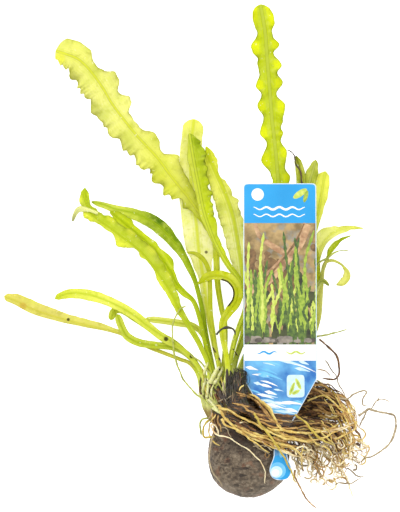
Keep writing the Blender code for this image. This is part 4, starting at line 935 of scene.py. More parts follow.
def head(art):
    """Sky with two ripples, a disc and a pair of leaves."""
    low, high = PICTURE_HIGH, LABEL_TOP - PRINT_EDGE
    left, right = LABEL_X - 15, LABEL_X + 15
    corners = [(left, low), (right, low), (right, high), (left, high)]
    art.shape(rounded(corners, [0, 0, 1.8, 1.8]), SKY, 0.02)
    for height, size in ((103.6, 0.9), (100.6, 0.55)):
        art.wave(1.5, 23.0, 36, height, 0.55, 1.15, [0.3, size, size, 0.3], WHITE, 0.04)
    art.blob(3.2, 109.4, 2.6, 2.6, WHITE, 0.04, count=32)
    art.blob(21.0, 109.8, 3.4, 1.3, GRASS_PALE, 0.04, turn=0.6)
    art.blob(23.4, 108.6, 2.6, 0.9, GRASS, 0.05, turn=1.3)


def picture(art, rng):
    """Grass in front of driftwood and stones."""
    art.slab(PICTURE_LOW, PICTURE_HIGH, BACKDROP, 0.02)
    for k in range(60):
        x, y = rng.uniform(-2.5, 27.5), rng.uniform(47, 92)
        size = rng.uniform(1, 3.4)
        if y < rng.uniform(50, 78):
            ink = DEEP_GREEN
        else:
            ink = WOOD_DARK if y < rng.uniform(70, 92) else BACKDROP
        tall = rng.uniform(1, 2.2) * size
        art.blob(x, y, size, tall, ink, 0.022 + 0.0003 * k, turn=rng.uniform(-1, 1), count=9)
    trunk, shadow = "24 97, 21 90, 14 81, 7 74, -1 70", "22.6 97, 19 89.4, 12 80, 5 72.6"
    art.band(rows(trunk), [3.2, 4.6, 4.2, 4.8, 5.6], WOOD, 0.04)
    art.band(rows(shadow), [0.5, 0.9, 0.7, 0.9], WOOD_DARK, 0.05)
    art.band(rows("16 84, 9 88, 4 92, 2 97"), [3.0, 2.4, 2.0, 1.6], WOOD, 0.045)
    for k in range(64):
        foot = rng.choice([0.5, 5.0, 11.0, 16.0, 21.0, 25.5]) + rng.normal(0, 1.2)
        rise = rng.uniform(16, 46) if k > 24 else rng.uniform(8, 30)
        lean = rng.normal(0, 3.0)
        sway = rng.normal(0, 1.4)
        blade = [(0, 0), (0.2 * lean + sway, 0.35), (0.6 * lean, 0.7), (lean + sway, 1)]
        blade = [(foot + aside, 48.4 + share * rise) for aside, share in blade]
        widths = 1.05 + 0.7 * np.sin(np.arange(33) * 2.1 + k) * np.linspace(1, 0.6, 33)
        ink = GRASS_DARK
        if k >= 24:
            ink = int(rng.choice([GRASS_DARK, GRASS, GRASS, GRASS_PALE, GRASS_PALE]))
        lift = 0.06 + 0.0012 * k
        art.band(blade, [*widths, 0.3], ink, lift)
        if k > 24:
            tall = rng.uniform(2, 6)
            art.blob(foot, 50.5, 1.0, tall, GRASS_DARK if k % 3 else DEEP_GREEN, lift + 0.0005)
    for k in range(26):
        x = rng.uniform(-2.2, 27.2)
        size = rng.uniform(0.9, 2.4)
        ink, lift = STONE if k % 3 else STONE_DARK, 0.12 + 0.001 * k
        turn = rng.uniform(-0.2, 0.2)
        art.blob(x, 47.6 + 0.5 * size, size, 0.65 * size, ink, lift, turn=turn)


def lower_half(art, rng):
    """A white band with two waves, then a blue field with streaks of light and a small panel."""
    art.slab(FIELD_HIGH, PICTURE_LOW, WHITE, 0.15)
    art.slab(LABEL_BOTTOM + 0.5, FIELD_HIGH, FIELD, 0.02)
    for k in range(64):
        y = 14.0 + 27.0 * rng.uniform()
        x = LABEL_X + rng.uniform(-15, 11)
        reach = rng.uniform(4, 12)
        droop = rng.uniform(0.1, 0.35)
        ink = int(rng.choice([WHITE] * 2 + [LIGHT_BLUE] * 2 + [MIDDLE_BLUE] * 2))
        if x + reach > 14.4 and x < 23.4 and y > 22.4 and y - droop * reach < 33.4:
            continue
        arc = [(x + reach * t, y + 1.5 - droop * reach * t**1.5) for t in (0, 0.35, 0.7, 1.0)]
        widths = [0.1, rng.uniform(0.5, 1.6), rng.uniform(0.3, 1.0), 0.1]
        art.band(arc, widths, ink, 0.04 + 0.001 * k)
    panel = rounded(rows("15.2 24.6, 22.6 24.6, 22.6 34, 15.2 34"), [1.6] * 4)
    art.shape(panel, LIGHT_BLUE, 0.09)
    for x, y, wide, turn in rows("17.4 28.2 2.9 1.2, 20 30.2 2.6 2, 19 26.8 1.8 0.5"):
        art.blob(x, y, wide, 0.8, GRASS_PALE, 0.10, turn=turn)
        art.blob(x, y, 0.7 * wide, 0.25, GRASS, 0.11, turn=turn)
    for first, last, ink in ((3, 11, SKY), (15, 23, GRASS_PALE)):
        art.wave(first, last, 20, 43.2, 0.5, 1.4, [0.3, 0.8, 0.8, 0.3], ink, 0.17)


def stake_end(art):
    """The drop-shaped end of the stake, with a soft light on its left."""
    for x, y, wide, tall, ink in (
        (12.4, -4.4, 4.4, 5.2, SKY), (11.4, -5.6, 3.3, 3.4, MIDDLE_BLUE),
        (10.8, -6.2, 2.5, 2.4, LIGHT_BLUE), (10.4, -6.6, 1.6, 1.4, WHITE),
        (12.8, 3.6, 1.2, 4.0, MIDDLE_BLUE),
    ):
        art.blob(x, y, wide, tall, ink, 0.08 - 0.01 * wide, turn=0.4 if y < 0 else 0.0)


def plant_label():
    art = Print()
    rng = np.random.default_rng(5)
    head(art)
    picture(art, rng)
    lower_half(art, rng)
    stake_end(art)
    mesh = bpy.data.meshes.new("plant_label_printed")
    mesh.from_pydata((np.array(art.points) * MM).tolist(), [], art.faces)
    mesh.polygons.foreach_set("material_index", art.inks)
    place_piece(finish_piece(mesh, INKS), "plant_label")


plant_label()


# Roots: single ones as tubes, locks as many strands inside the form of the CAD lock

SKINS = {
    name: plain_skin("root_" + name, *rows(colours)[:2], glow=glow, stain=rows(colours)[2])
    for name, glow, colours in (
        ("yellow", 0.1, "226 186 84, 250 228 140, 188 138 54"),
        ("tan", 0.1, "182 134 66, 224 182 108, 136 92 42"),
        ("brown", 0.0, "98 64 28, 146 100 48, 62 38 16"),
        ("dark", 0.0, "38 24 12, 70 48 26, 96 64 34"),
        ("cream", 0.05, "250 230 176, 270 258 216, 206 160 92"),
        ("grey", 0.0, "150 132 100, 190 172 136, 110 88 56"),
        ("olive", 0.1, "192 166 44, 226 204 92, 160 124 36"),
        ("black", 0.0, "24 20 12, 46 40 24, 70 66 30"),
        ("sheath", 0.2, "240 242 140, 260 257 204, 208 216 84"),
        ("green", 0.1, "168 176 62, 204 208 104, 140 150 50"),
    )
}
ORDER = list(SKINS)
YELLOW, TAN, BROWN, DARK, CREAM, GREY, OLIVE, BLACK, SHEATH, GREENISH = range(10)
PALER = (BLACK, DARK, BROWN, TAN, YELLOW, CREAM)


def table(text):
    """The rows of a table, which ; parts: words, and then lists of points, each after a colon."""
    for row in text.split(";"):
        words, *lists = row.split(":")
        yield *words.split(), *map(rows, lists)


def tubes(name, lines, sides=5):
    """One mesh of many thin tubes: lines are (points, radii, material number or one a point)."""
    points, faces, kinds = [], [], []
    count = 0
    angle = 2 * np.pi * np.arange(sides) / sides
    for centre, radii, kind in lines:
        radii = np.pad(np.broadcast_to(radii, len(centre)), 1)
        kind = np.pad(np.broadcast_to(kind, len(centre)), 1, mode="edge")[:-1]
        centre = np.pad(centre, ((1, 1), (0, 0)), mode="edge")
        tangent = np.gradient(centre, axis=0)
        tangent /= np.linalg.norm(tangent, axis=1)[:, None] + 1e-9
        first = np.cross(tangent, (0.13, 0.21, 0.97))
        first /= np.linalg.norm(first, axis=1)[:, None] + 1e-9
        second = np.cross(tangent, first)
        ring = centre[:, None] + radii[:, None, None] * (
            first[:, None] * np.cos(angle)[:, None] + second[:, None] * np.sin(angle)[:, None]
        )
        ring[:, :, 2] = np.maximum(ring[:, :, 2], LOWEST)
        points.append(ring.reshape(-1, 3))
        faces.append(quads(closed(len(centre), sides) + count, "abcd"))
        kinds.append(np.repeat(kind, sides))
        count += len(centre) * sides
    points, faces, kinds = map(np.concatenate, (points, faces, kinds))
    piece = new_piece("plant_" + name, points, faces, list(SKINS.values()), kinds)
    place_piece(piece, name)


def root(name, kind, kink, radii, route):
    """A single root along a CAD root, a little kinked, thicker and thinner along its way."""
    kink = float(kink)
    at, s = smooth_route(route, 0.6)
    seed = sum(map(ord, name)) % 89
    z = eased(node_middle(name, at), 2) + 0.5 * kink * wobble(s, seed + 6, 3.0)
    sway = kink * (wobble(s, seed, 4.0) + 0.35 * wobble(s, seed + 1, 1.3))
    line = np.column_stack([at + normals_of(at) * sway[:, None], z])
    radius = 0.94 * np.interp(s / s[-1], *np.transpose(radii))
    radius = radius * (1 + 0.22 * wobble(s, seed + 3, 1.8))
    radius[-3:] *= (0.9, 0.7, 0.35)
    tubes(name, [(line, radius, ORDER.index(kind))], sides=8)


# Name, skin, how much it kinks, radii at shares of its length, and route
for row in table("""
    root_right_arch yellow 0.3: 0 0.5, 0.5 0.45, 1 0.35: 24.2 22.4, 26.8 23.9, 30.2 24.8,
        32.8 23.9, 35.7 21.8, 37.8 19.3, 41.2 17.2, 44.5 15.5;
    root_right_hook yellow 0.3: 0 0.5, 0.5 0.45, 1 0.3: 31.5 7.1, 36.1 7.1, 39.9 8.4, 42.8 10.1,
        44.1 11.8, 43.5 14.5;
    root_hang_right cream 0.3: 0 0.5, 0.5 0.4, 1 0.2: 33.6 6.7, 34.9 3.4, 36.1 -0.4, 37 -4.2,
        39.1 -6.7, 40.7 -10, 42 -13.4, 43.7 -17.2, 45 -20.6;
    root_stray tan 0.3: 0 0.42, 0.5 0.42, 1 0.28: 19.3 -6.8, 19.3 -9.5, 21 -13.9, 23.5 -18.1,
        26 -21, 28.6 -23.3;
    root_right_branch grey 0.2: 0 0.45, 0.5 0.42, 1 0.32: 36.5 24, 40.7 23.5, 43.3 25.2,
        46.2 26.5, 49.1 26.4, 47.9 23.9, 47.5 21.8, 47.9 20.6, 50 20.2;
    root_far_loop grey 0.15: 0 0.5, 0.5 0.52, 1 0.4: 46 16, 50 19, 51.7 18.5, 55 17.6, 59.2 16.8,
        61.3 15.5, 61.7 10.5, 60.5 6.7, 58 3.4, 55.4 1.3, 51.7 -0.8, 48 -1.5;
    root_low_right grey 0.3: 0 0.35, 0.5 0.35, 1 0.2: 41.2 -5.9, 44.1 -8.4, 45.8 -9.7, 49.1 -9.2;
    root_low_arc grey 0.3: 0 0.35, 0.5 0.35, 1 0.2: 36.5 -13.2, 38.2 -12.2, 42.4 -12.2,
        44.9 -11.3, 47 -10.1;
    root_dark_arc brown 0.1: 0 0.45, 0.5 0.5, 1 0.35: 29.4 48.6, 31.2 46.8, 34.4 44.1, 37 40.7,
        37.8 37, 37.6 33.6, 36.1 31.5, 33.6 31.5, 30.7 32;
    root_face cream 0.3: 0 0.4, 0.3 0.31, 0.7 0.28, 1 0.18: -16.5 12.5, -14 9.3, -11 8.4,
        -8.5 7.6, -6.3 5.9, -3 4.2, 0.4 2.1, 2.9 -0.4, 5 -3.8, 6.3 -7.1, 5.9 -11.3;
    root_left_loop green 0.3: 0 0.5, 0.6 0.44, 1 0.4: -17.6 15.5, -20.2 14.7, -21 11.8, -20.2 8;
    root_left_bend olive 0.3: 0 0.5, 0.6 0.5, 1 0.4: -17.2 14.7, -18.9 13.4, -19.3 10.5,
        -18.9 7.6, -14.7 8;
    root_left_down grey 0.3: 0 0.4, 0.6 0.34, 1 0.22: -15.5 9, -16.3 5, -17.3 0.4, -16.4 -4.5,
        -14.7 -8.4, -11.3 -12.6;
    root_top_long yellow 0.3: 0 0.5, 0.5 0.5, 1 0.35: -13.4 20.6, -9.2 19.3, -5 16.8, -0.4 15.1,
        4 12.6, 9.7 9.6, 16 7.5, 24 6.8, 31 8, 37 10.5;
    root_top_short yellow 0.3: 0 0.5, 0.5 0.5, 1 0.35: -12.6 19.7, -10.9 16.8, -8.4 14.3,
        -5.9 11.8, -2.1 10.5, 1.3 9.2, 7 7.6, 13 5.8;
    root_fork yellow 0.3: 0 0.5, 0.5 0.45, 1 0.3: -12.2 16, -10.5 13.4, -8 12.2, -5 11.3, 0 7.5,
        4 4.5, 8 1.7;
    root_steep olive 0.3: 0 0.5, 0.5 0.5, 1 0.3: 1.7 18.5, 2.9 16, 5.5 11.8, 7.6 9.2, 10.5 5,
        13.5 0.5, 17 -6, 19 -11;
    root_arch yellow 0.3: 0 0.5, 0.5 0.5, 1 0.3: 5 23.1, 8.4 20.2, 10.1 16.4, 12.2 12.6, 16 10.5,
        22 10;
    root_cross olive 0.3: 0 0.5, 0.5 0.5, 1 0.35: 18.5 17.6, 22.7 14.7, 25.2 11.3, 28.1 8.4,
        31 6.5, 34.5 5;
    pale_fibre green 0.15: 0 0.42, 0.5 0.44, 1 0.35: -15 19.5, -20 23.5, -24 27, -27.5 31,
        -30.7 38, -32.3 46, -32.3 55, -30 60.5, -26.8 62.5;
    dried_arc black 0.1: 0 0.45, 0.5 0.55, 1 0.32: -14.3 50.8, -12 52.9, -9.6 53.8, -7.1 52.9,
        -6.2 50.5;
    thin_stalk_right green 0.05: 0 0.45, 0.5 0.45, 1 0.25: 27 78, 29.5 81, 32.8 82.8, 35.7 85,
        39.5 86, 42.4 85.7;
    dried_thread dark 0.3: 0 0.4, 0.5 0.35, 1 0.25: 22.6 112, 21.6 116.8, 21 119, 19.3 122.6,
        18.5 126.4, 16.8 128.1, 15.5 128.4;
    green_thread green 0.15: 0 0.42, 0.5 0.4, 1 0.28: 24 48, 28.6 49.6, 33.2 50.4, 37.5 51.7,
        41.2 52.5
"""):
    root(*row)


CARRIERS = [name for name in frame["nodes"] if not name.startswith(("root_", "pale_fibre"))]
LEAF_PIECES = [obj.name for obj in bpy.data.objects if obj.name.startswith("plant_leaf")]
LEAST_HEIGHT = 0.35
LONGEST_HAIR = 2.2


def top_of_all(at, on_crown):
    """The top of all but the single roots under these plan points.

    Where there is none it is the ground's height. On the crown it is even between its
    neighbours instead, and the leaves count as they are drawn.
    """
    names = CARRIERS + (LEAF_PIECES if on_crown else [])
    tops = []
    for x, y in at[:, :2]:
        heights = [height_of(name, x, y) for name in names]
        tops.append(max((z for z in heights if z is not None), default=np.nan))
    tops = np.array(tops)
    known = np.flatnonzero(~np.isnan(tops))
    if not on_crown or not len(known):
        return np.where(np.isnan(tops), LEAST_HEIGHT, tops)
    return np.interp(np.arange(len(tops)), known, tops[known])


def strands(text):
    """Strands from a table of skin, radius and route."""
    return [(route, float(radius), ORDER.index(kind)) for kind, radius, route in table(text)]


def sheaf(route, width, count, thin, thick, kinds, seed):
    """Strands side by side along a route, to be laid over the locks."""
    rng = np.random.default_rng(seed)
    route = rows(route)
    lines = []
    for _ in range(count):
        shift = rng.uniform(-1, 1) * width
        turn = rng.uniform(-0.3, 0.3) * width
        ends = 2 if len(route) > 4 else 1
        part = route[rng.integers(ends):len(route) - rng.integers(ends)]
        (x0, y0), (x1, y1) = part[0], part[-1]
        aside = np.array((y0 - y1, x1 - x0)) / math.hypot(x1 - x0, y1 - y0)
        at = [np.array(p) + aside * (shift + turn * (j - 1.5)) for j, p in enumerate(part)]
        at[0] = at[0] + rng.uniform(-0.15, 0.55) * (at[1] - at[0])
        lines.append((at, rng.uniform(thin, thick), kinds[rng.integers(len(kinds))]))
    return lines


def curls(places, seed):
    """Open loops of thin root, one at each place."""
    rng = np.random.default_rng(seed)
    lines = []
    for x, y in rows(places):
        size = rng.uniform(1.0, 2.6)
        start = rng.uniform(0, 2 * math.pi)
        turn = rng.uniform(2.4, 5.0) * rng.choice((-1, 1))
        way = []
        for t in np.linspace(0, 1, 7):
            reach = size * (1 + 0.5 * t)
            angle = start + turn * t
            way.append((x + reach * math.cos(angle), y + 0.8 * reach * math.sin(angle)))
        radius = rng.uniform(0.32, 0.46)
        lines.append((way, radius, (CREAM, CREAM, TAN, YELLOW, GREY)[rng.integers(5)]))
    return lines


def side_hairs(rng, line, count):
    """Short thin side roots that leave a strand, as many as count."""
    hairs = []
    for _ in range(count):
        k = int(rng.uniform(0.15, 0.95) * (len(line) - 2))
        ahead = line[k + 1] - line[k]
        ahead = ahead / (np.linalg.norm(ahead) + 1e-9)
        aside = np.array((-ahead[1], ahead[0], 0)) * rng.choice((-1, 1))
        reach = np.linspace(0, rng.uniform(0.35, 1) * LONGEST_HAIR, 7)[:, None]
        bend = rng.normal(0, 0.10)
        at = line[k] + reach * (0.8 * aside + rng.uniform(-0.2, 0.8) * ahead)
        at = at + bend * reach**2 * ahead
        at[:, 2] = np.maximum(at[:, 2] + rng.normal(0, 0.12) * reach[:, 0], 0.25)
        kind = int(rng.choice((CREAM, CREAM, TAN, YELLOW, BROWN)))
        hairs.append((at, np.linspace(0.2, 0.08, 7) * rng.uniform(0.8, 1.4), kind))
    return hairs


def laid_on_top(k, way, radius, kind, on_crown):
    """A strand that lies on top of the locks, the pale ones over the dark ones."""
    at, s = smooth_route(way, 0.5)
    sway = 0.16 * wobble(s, k + 60, 3.0) + 0.1 * wobble(s, k + 61, 1.1)
    z = np.pad(top_of_all(at, on_crown), 4, mode="edge")
    z = np.max([np.roll(z, shift)[4:-4] for shift in range(-3, 4)], axis=0)
    above = 0.3 if on_crown else 0.2
    if kind in (YELLOW, TAN, CREAM, OLIVE, GREY):
        above = 0.9
    z = eased(eased(z + above * np.clip(z / 3, 0, 1), 3), 2) + 0.2 * wobble(s, k + 62, 5.0)
    z = np.maximum(z, LEAST_HEIGHT)
    line = np.column_stack([at + normals_of(at) * sway[:, None], z])
    taper = np.interp(s / s[-1], [0, 0.06, 0.8, 1], [0.5, 1, 0.9, 0.35])
    return line, radius * taper * (1 + 0.22 * wobble(s, k + 63, 1.7)), kind


def lock(
    name, route, radii, tall, count, thin, thick, kinds, kink, step=0.9, hairs=1, late=0.5,
    lengths=(0.45, 1.15), drawn=(), on_crown=False,
):
    """Many strands that wander along a lock's form, and drawn ones on top of them.

    radii are at shares of its length, and tall is its height as a share of its width. There are
    count strands, thin to thick, and kinds are their skins from the underside to the top. kink
    is how far they wander, and hairs how many side roots each has. late is the last place where
    they start, and lengths are the least and most that they reach, as shares of the lock.
    """
    rng = np.random.default_rng(sum(map(ord, name)))
    at, s = smooth_route(rows(route), step)
    normal = normals_of(at)
    z = eased(node_middle(name, at), 2)
    width = np.interp(s / s[-1], *np.transpose(rows(radii)))
    lines = []
    for k in range(count):
        first = 0 if rng.uniform() < 0.5 else int(rng.uniform(0, late) * len(s))
        last = min(len(s), first + int(rng.uniform(*lengths) * len(s)))
        if last - first < 8:
            continue
        cut = slice(first, last)
        level = rng.uniform(-1, 1)
        radius = thin + (thick - thin) * rng.uniform() ** (2.0 - level)
        lane = np.clip(rng.uniform(-1, 1) + 0.5 * wobble(s[cut], k + 3, 15.0), -1, 1)
        reach = np.maximum(width[cut] - radius, 0.1)
        sway = 0.7 * wobble(s[cut], k + 40, 6.0) + 0.4 * wobble(s[cut], k + 41, 2.2)
        aside = reach * lane + kink * sway
        up = level * tall * reach * np.sqrt(1 - 0.8 * lane**2)
        up = up + 0.4 * kink * wobble(s[cut], k + 90, 3.6)
        line = np.column_stack([at[cut] + normal[cut] * aside[:, None], z[cut] + up])
        line[:, 2] = np.maximum(line[:, 2], radius + 0.05)
        taper = np.interp(np.linspace(0, 1, last - first), [0, 0.1, 0.7, 1], [0.8, 1, 0.8, 0.25])
        radius = radius * taper * (1 + 0.2 * wobble(s[cut], k + 7, 1.8))
        # Lower strands take darker skins: partly dark roots, partly painted shade deep in the lock
        kind = int(np.clip((level + 1) / 2 * len(kinds) + rng.normal(0, 0.7), 0, len(kinds) - 1))
        # Paler step by step towards the fringe's lower edge and far right
        limit = rng.uniform(0, 7)
        paler = np.maximum((limit - line[:, 1]) / 1.6, (line[:, 0] - 33 - limit) / 2)
        paler = PALER.index(kinds[kind]) + np.clip(paler, 0, rng.integers(1, 6)).astype(int)
        lines.append((line, radius, np.array(PALER)[np.minimum(paler, len(PALER) - 1)]))
        lines += side_hairs(rng, line, hairs)
    for k, strand in enumerate(drawn):
        lines.append(laid_on_top(k, *strand, on_crown))
    tubes(name, lines)


# Skins of the strands, from a lock's underside to its top; the dark ones below are partly painted
# shade
DEEP = [BLACK] + [DARK] * 6 + [BROWN] * 2 + [TAN]
WARM = [DARK] * 4 + [BROWN] * 3 + [TAN, YELLOW]
PALE = [DARK, BROWN, TAN, CREAM, TAN, CREAM, CREAM]
BROWNS = [DARK] * 3 + [BROWN] * 3 + [TAN]

# The crown: pale sheaths, dark strands as painted shade in the gaps between them, and torn fibres
CROWN = strands("""
    sheath 0.95: -19.8 24, -19.5 27.5, -18.9 30, -18.7 32.4;
    sheath 0.7: -18 24, -17.8 27, -17.5 29.5, -17.6 32.5;
    sheath 1.1: -16.8 30, -15.6 33, -14 35.4, -12.8 37.4;
    sheath 0.9: -15.2 29.6, -13.8 32, -12.4 34.6, -11.6 37;
    sheath 0.8: -17.6 23.6, -15.6 21.2, -13.9 19.4, -12.2 17.6;
    sheath 0.5: -21.8 25.8, -18.6 22.6, -15.8 20, -13.4 17.8;
    sheath 0.55: -16.4 24.6, -16 27.4, -15.4 30;
    green 0.55: -14.6 27.6, -13.6 30, -12.6 32.4;
    sheath 0.8: -19.4 34, -18.4 36.6, -17.8 39;
    grey 0.35: -11.3 31, -10.9 28, -10.2 25.5, -9.6 23.8;
    olive 0.35: -12.3 33, -11.6 30.5, -11.2 28.6;
    dark 0.36: -18.3 31.8, -17.5 30.7, -17 29.8;
    dark 0.34: -16.4 29.6, -15 27.6, -13.4 26, -12 24.6, -10.6 22.8;
    dark 0.26: -17.1 28.6, -16.8 26.4, -16.4 24.4;
    dark 0.26: -17.7 24.2, -16.9 23.2, -16.3 22.2;
    brown 0.22: -21 30, -21 27, -20.6 25, -19.6 23.2;
    dark 0.32: -15.7 45.5, -15 44.2, -14.4 43;
    dark 0.36: -13.2 41, -12.8 40.2, -12.6 39.4;
    dark 0.4: -13.4 36.9, -12.9 36.2, -12.5 35.6;
    dark 0.28: -7.3 44.8, -6.2 43.2, -5.2 41.4;
    brown 0.75: -13.6 28, -12.8 25.2, -11.6 22.4;
    dark 0.75: -12.4 27.6, -11.6 25, -10.6 22;
    brown 0.6: -14.8 25.8, -13.6 23.8, -12.4 21.6;
    dark 0.8: -10.8 26, -10 23.6, -8.6 21;
    dark 0.75: -2 29.4, -1.6 26.4, -0.8 23.4, 0.8 20.6;
    black 0.75: -3.4 30, -3 26.6, -2 23.2, -0.4 20;
    black 0.8: -4.4 24, -3.6 21.8, -2 19.4;
    grey 0.22: -6.8 36.6, -6.6 33.6, -6.9 30.6;
    grey 0.2: -7.4 27, -7.2 25, -7.6 23.2;
    brown 0.25: -4.4 35, -4.2 32.4, -4.6 30;
    olive 0.2: -18.9 29.5, -18.6 27, -18 24.6;
    green 0.3: -16.9 34, -16.4 32.6, -15.9 31.4, -14.6 30;
    dark 0.3: -15.5 27.6, -15.2 25.4, -15 23.4;
    dark 0.45: -12.9 31.6, -12.5 29.6, -12.2 27.4;
    brown 0.3: -20.9 31.4, -21.1 28.6, -20.8 26, -19.8 23.8;
    grey 0.3: -16.4 19.6, -16 18, -16.4 16.4, -17.6 15.2;
    grey 0.26: -13.4 22.8, -12.2 23.3, -11 24.2;
    grey 0.26: -10.2 23.4, -9 24.8, -7.6 25.6;
    tan 0.45: -15.8 18, -15.9 15, -15 12, -15.8 8.6;
    brown 0.45: -14.6 17.6, -14.6 14.6, -13.6 12, -14 9.4;
    tan 0.4: -13.4 17, -13.6 14.4, -12.4 12.2, -12.2 10;
    yellow 0.35: -14.4 17.4, -16.2 14.6, -17.3 11.6, -17 8.4, -15 5.6, -12.6 4.6;
    cream 0.4: -16.8 12.4, -15.2 12.8, -13.8 11.2, -13.2 8.6;
    dark 0.24: -20.7 32.6, -20.9 29.4, -20.3 26.2, -18.9 23.4, -17.2 21.4, -15 20;
    dark 0.26: -17.9 31.8, -16.8 29.9, -15.2 28, -13.6 25.8, -11.8 23.8, -9.8 22.6;
    brown 0.18: -19.2 30.6, -19.1 28, -18.4 25.6, -17.2 23.2, -15.6 21.2;
    brown 0.2: -16.4 31, -16.5 28.6, -16.1 26, -15.4 23.4, -14.6 21.6;
    green 0.42: -15.9 32, -15.8 29, -15.3 26, -14.7 23.4, -14.2 21;
    olive 0.2: -20.2 36.4, -19.6 34, -19.4 31.6, -19.7 29.2;
    green 0.4: -25.2 42.2, -22.4 40.2, -19.4 37.8, -17.4 35.2, -15 32.6, -12.9 29.6, -11.4 26;
    dark 0.2: -14.8 33.6, -13.6 31.6, -12.8 29.8, -12.4 27.8;
    brown 0.18: -17.6 36.6, -16.6 34.6, -15.8 32.8;
    black 0.5: -12.9 24.4, -12.1 22, -10.6 19.6;
    black 0.4: -11.4 26.6, -10.6 24.4, -9.6 22.2
""")
# Strands that can be told apart, on top of the locks
ACROSS = strands("""
    yellow 0.5: 7 12.2, 10 11.4, 14 11, 18 10.4, 22 10, 26 9.7, 29 10.2, 33 11, 36 12.2, 39 13.2,
        41 13.6;
    yellow 0.48: 10 8.9, 14 8.6, 18 7.8, 22 6.5, 25 5.2, 29 3.4, 32 2.2;
    tan 0.42: 9.5 8, 13 7, 17 6.2, 20 5.4, 23 4.4, 26 2.6;
    tan 0.4: 36 18.8, 38.5 16.7, 41 15.2, 43.5 14.3, 45 14.7;
    yellow 0.45: 24 9.6, 25.5 7.2, 28 5, 31 4, 33 2.5, 34 0;
    yellow 0.3: 29.6 14.5, 31.5 12, 33.2 9.2, 34.2 6;
    tan 0.4: 21 15.4, 25 15.6, 29 15.2, 33 15.6;
    brown 0.35: 21 17.3, 24 17.8, 28 17.2, 31 17.9;
    grey 0.3: 11 15, 14 14.9, 18 14.8, 22 14.2, 26 13;
    tan 0.4: 26 28.5, 28.5 27, 30.5 25.6, 33 25, 36 23.2;
    brown 0.45: 25 26.5, 27.5 26, 29.8 24.4, 31 22.5;
    olive 0.3: 28.5 31, 30.5 29.8, 32.5 28.3, 35 26.6, 36.5 24.6
""")
# Strands over the fringe; the short thick dark and brown ones are painted shade between the curls
DOWN = strands("""
    cream 0.42: 42.2 9.4, 42.4 6, 42 3, 41.7 0, 42.4 -2.4;
    yellow 0.42: 22 5, 21.5 2, 21.2 -1, 21.7 -4, 22.4 -7;
    cream 0.4: 28.8 3.2, 31 1.6, 33 -0.8, 35 -3.5, 35.6 -5.6;
    brown 0.3: 44.2 9.6, 46.4 8.8, 47 6.4, 46.4 3.4, 47 0.8;
    cream 0.26: 37 6.6, 36.6 4, 38 3, 39.4 4.2, 38.6 6;
    cream 0.34: 24.6 2.6, 24 -0.5, 25 -3.5, 24.2 -6.5, 25.4 -9.5;
    tan 0.38: 27.6 2, 28.4 -1, 27.4 -4, 28.6 -7, 28 -10;
    cream 0.34: 31 0, 30.4 -3, 32 -5.6, 31.2 -8.6, 33 -11;
    cream 0.24: 33 -10.5, 32.4 -12.6, 34 -13.8, 35 -12.6, 34 -11.4;
    tan 0.26: 36 -4.4, 39 -5.2, 41.4 -5, 43.4 -4.2;
    grey 0.24: 43 -2, 45.6 -3.6, 48 -2.8, 49.4 -1.2;
    cream 0.26: 47 3.2, 49 2.8, 49.4 0.8, 47.6 0;
    dark 0.7: 44.8 4.8, 45.6 4.2, 46.2 3.4;
    dark 0.5: 22 -6, 22.5 -6.8, 22.8 -7.4;
    dark 0.55: 26.6 -3, 27 -3.6, 27.5 -4;
    brown 0.5: 28.2 -1, 28.6 -1.6, 29.2 -2;
    dark 0.5: 33.6 -2, 34 -2.6, 34.6 -3;
    grey 0.26: 32 39.5, 35 35, 36.8 32.5, 38.2 28.5, 40 25, 40.6 22;
    tan 0.22: 28.5 35.8, 31 35.2, 33 34, 34.3 32.5;
    grey 0.3: 51 18.5, 52.4 20.4, 53.6 22.4, 55 24;
    grey 0.26: 53.8 22.2, 56.6 23, 59.3 21.8;
    grey 0.36: 50 19, 49 17, 47.5 14, 46.5 11
""")
DOWN += curls(
    "21 2, 23 -2, 25 1, 26.5 -6, 24 -9, 29 -8, 31 -3, 33 -7, 35 -11, 30 -12, 37 -2, 38.5 -8, "
    "41 -3, 40 2, 43.5 1, 46 -3, 44 -6, 36 3, 31.5 3, 27.5 4.6, 47 5, 42 6, 34 -13, 27 -12, "
    "39 -12, 45.6 8",
    21,
)
LEFTWARD = []
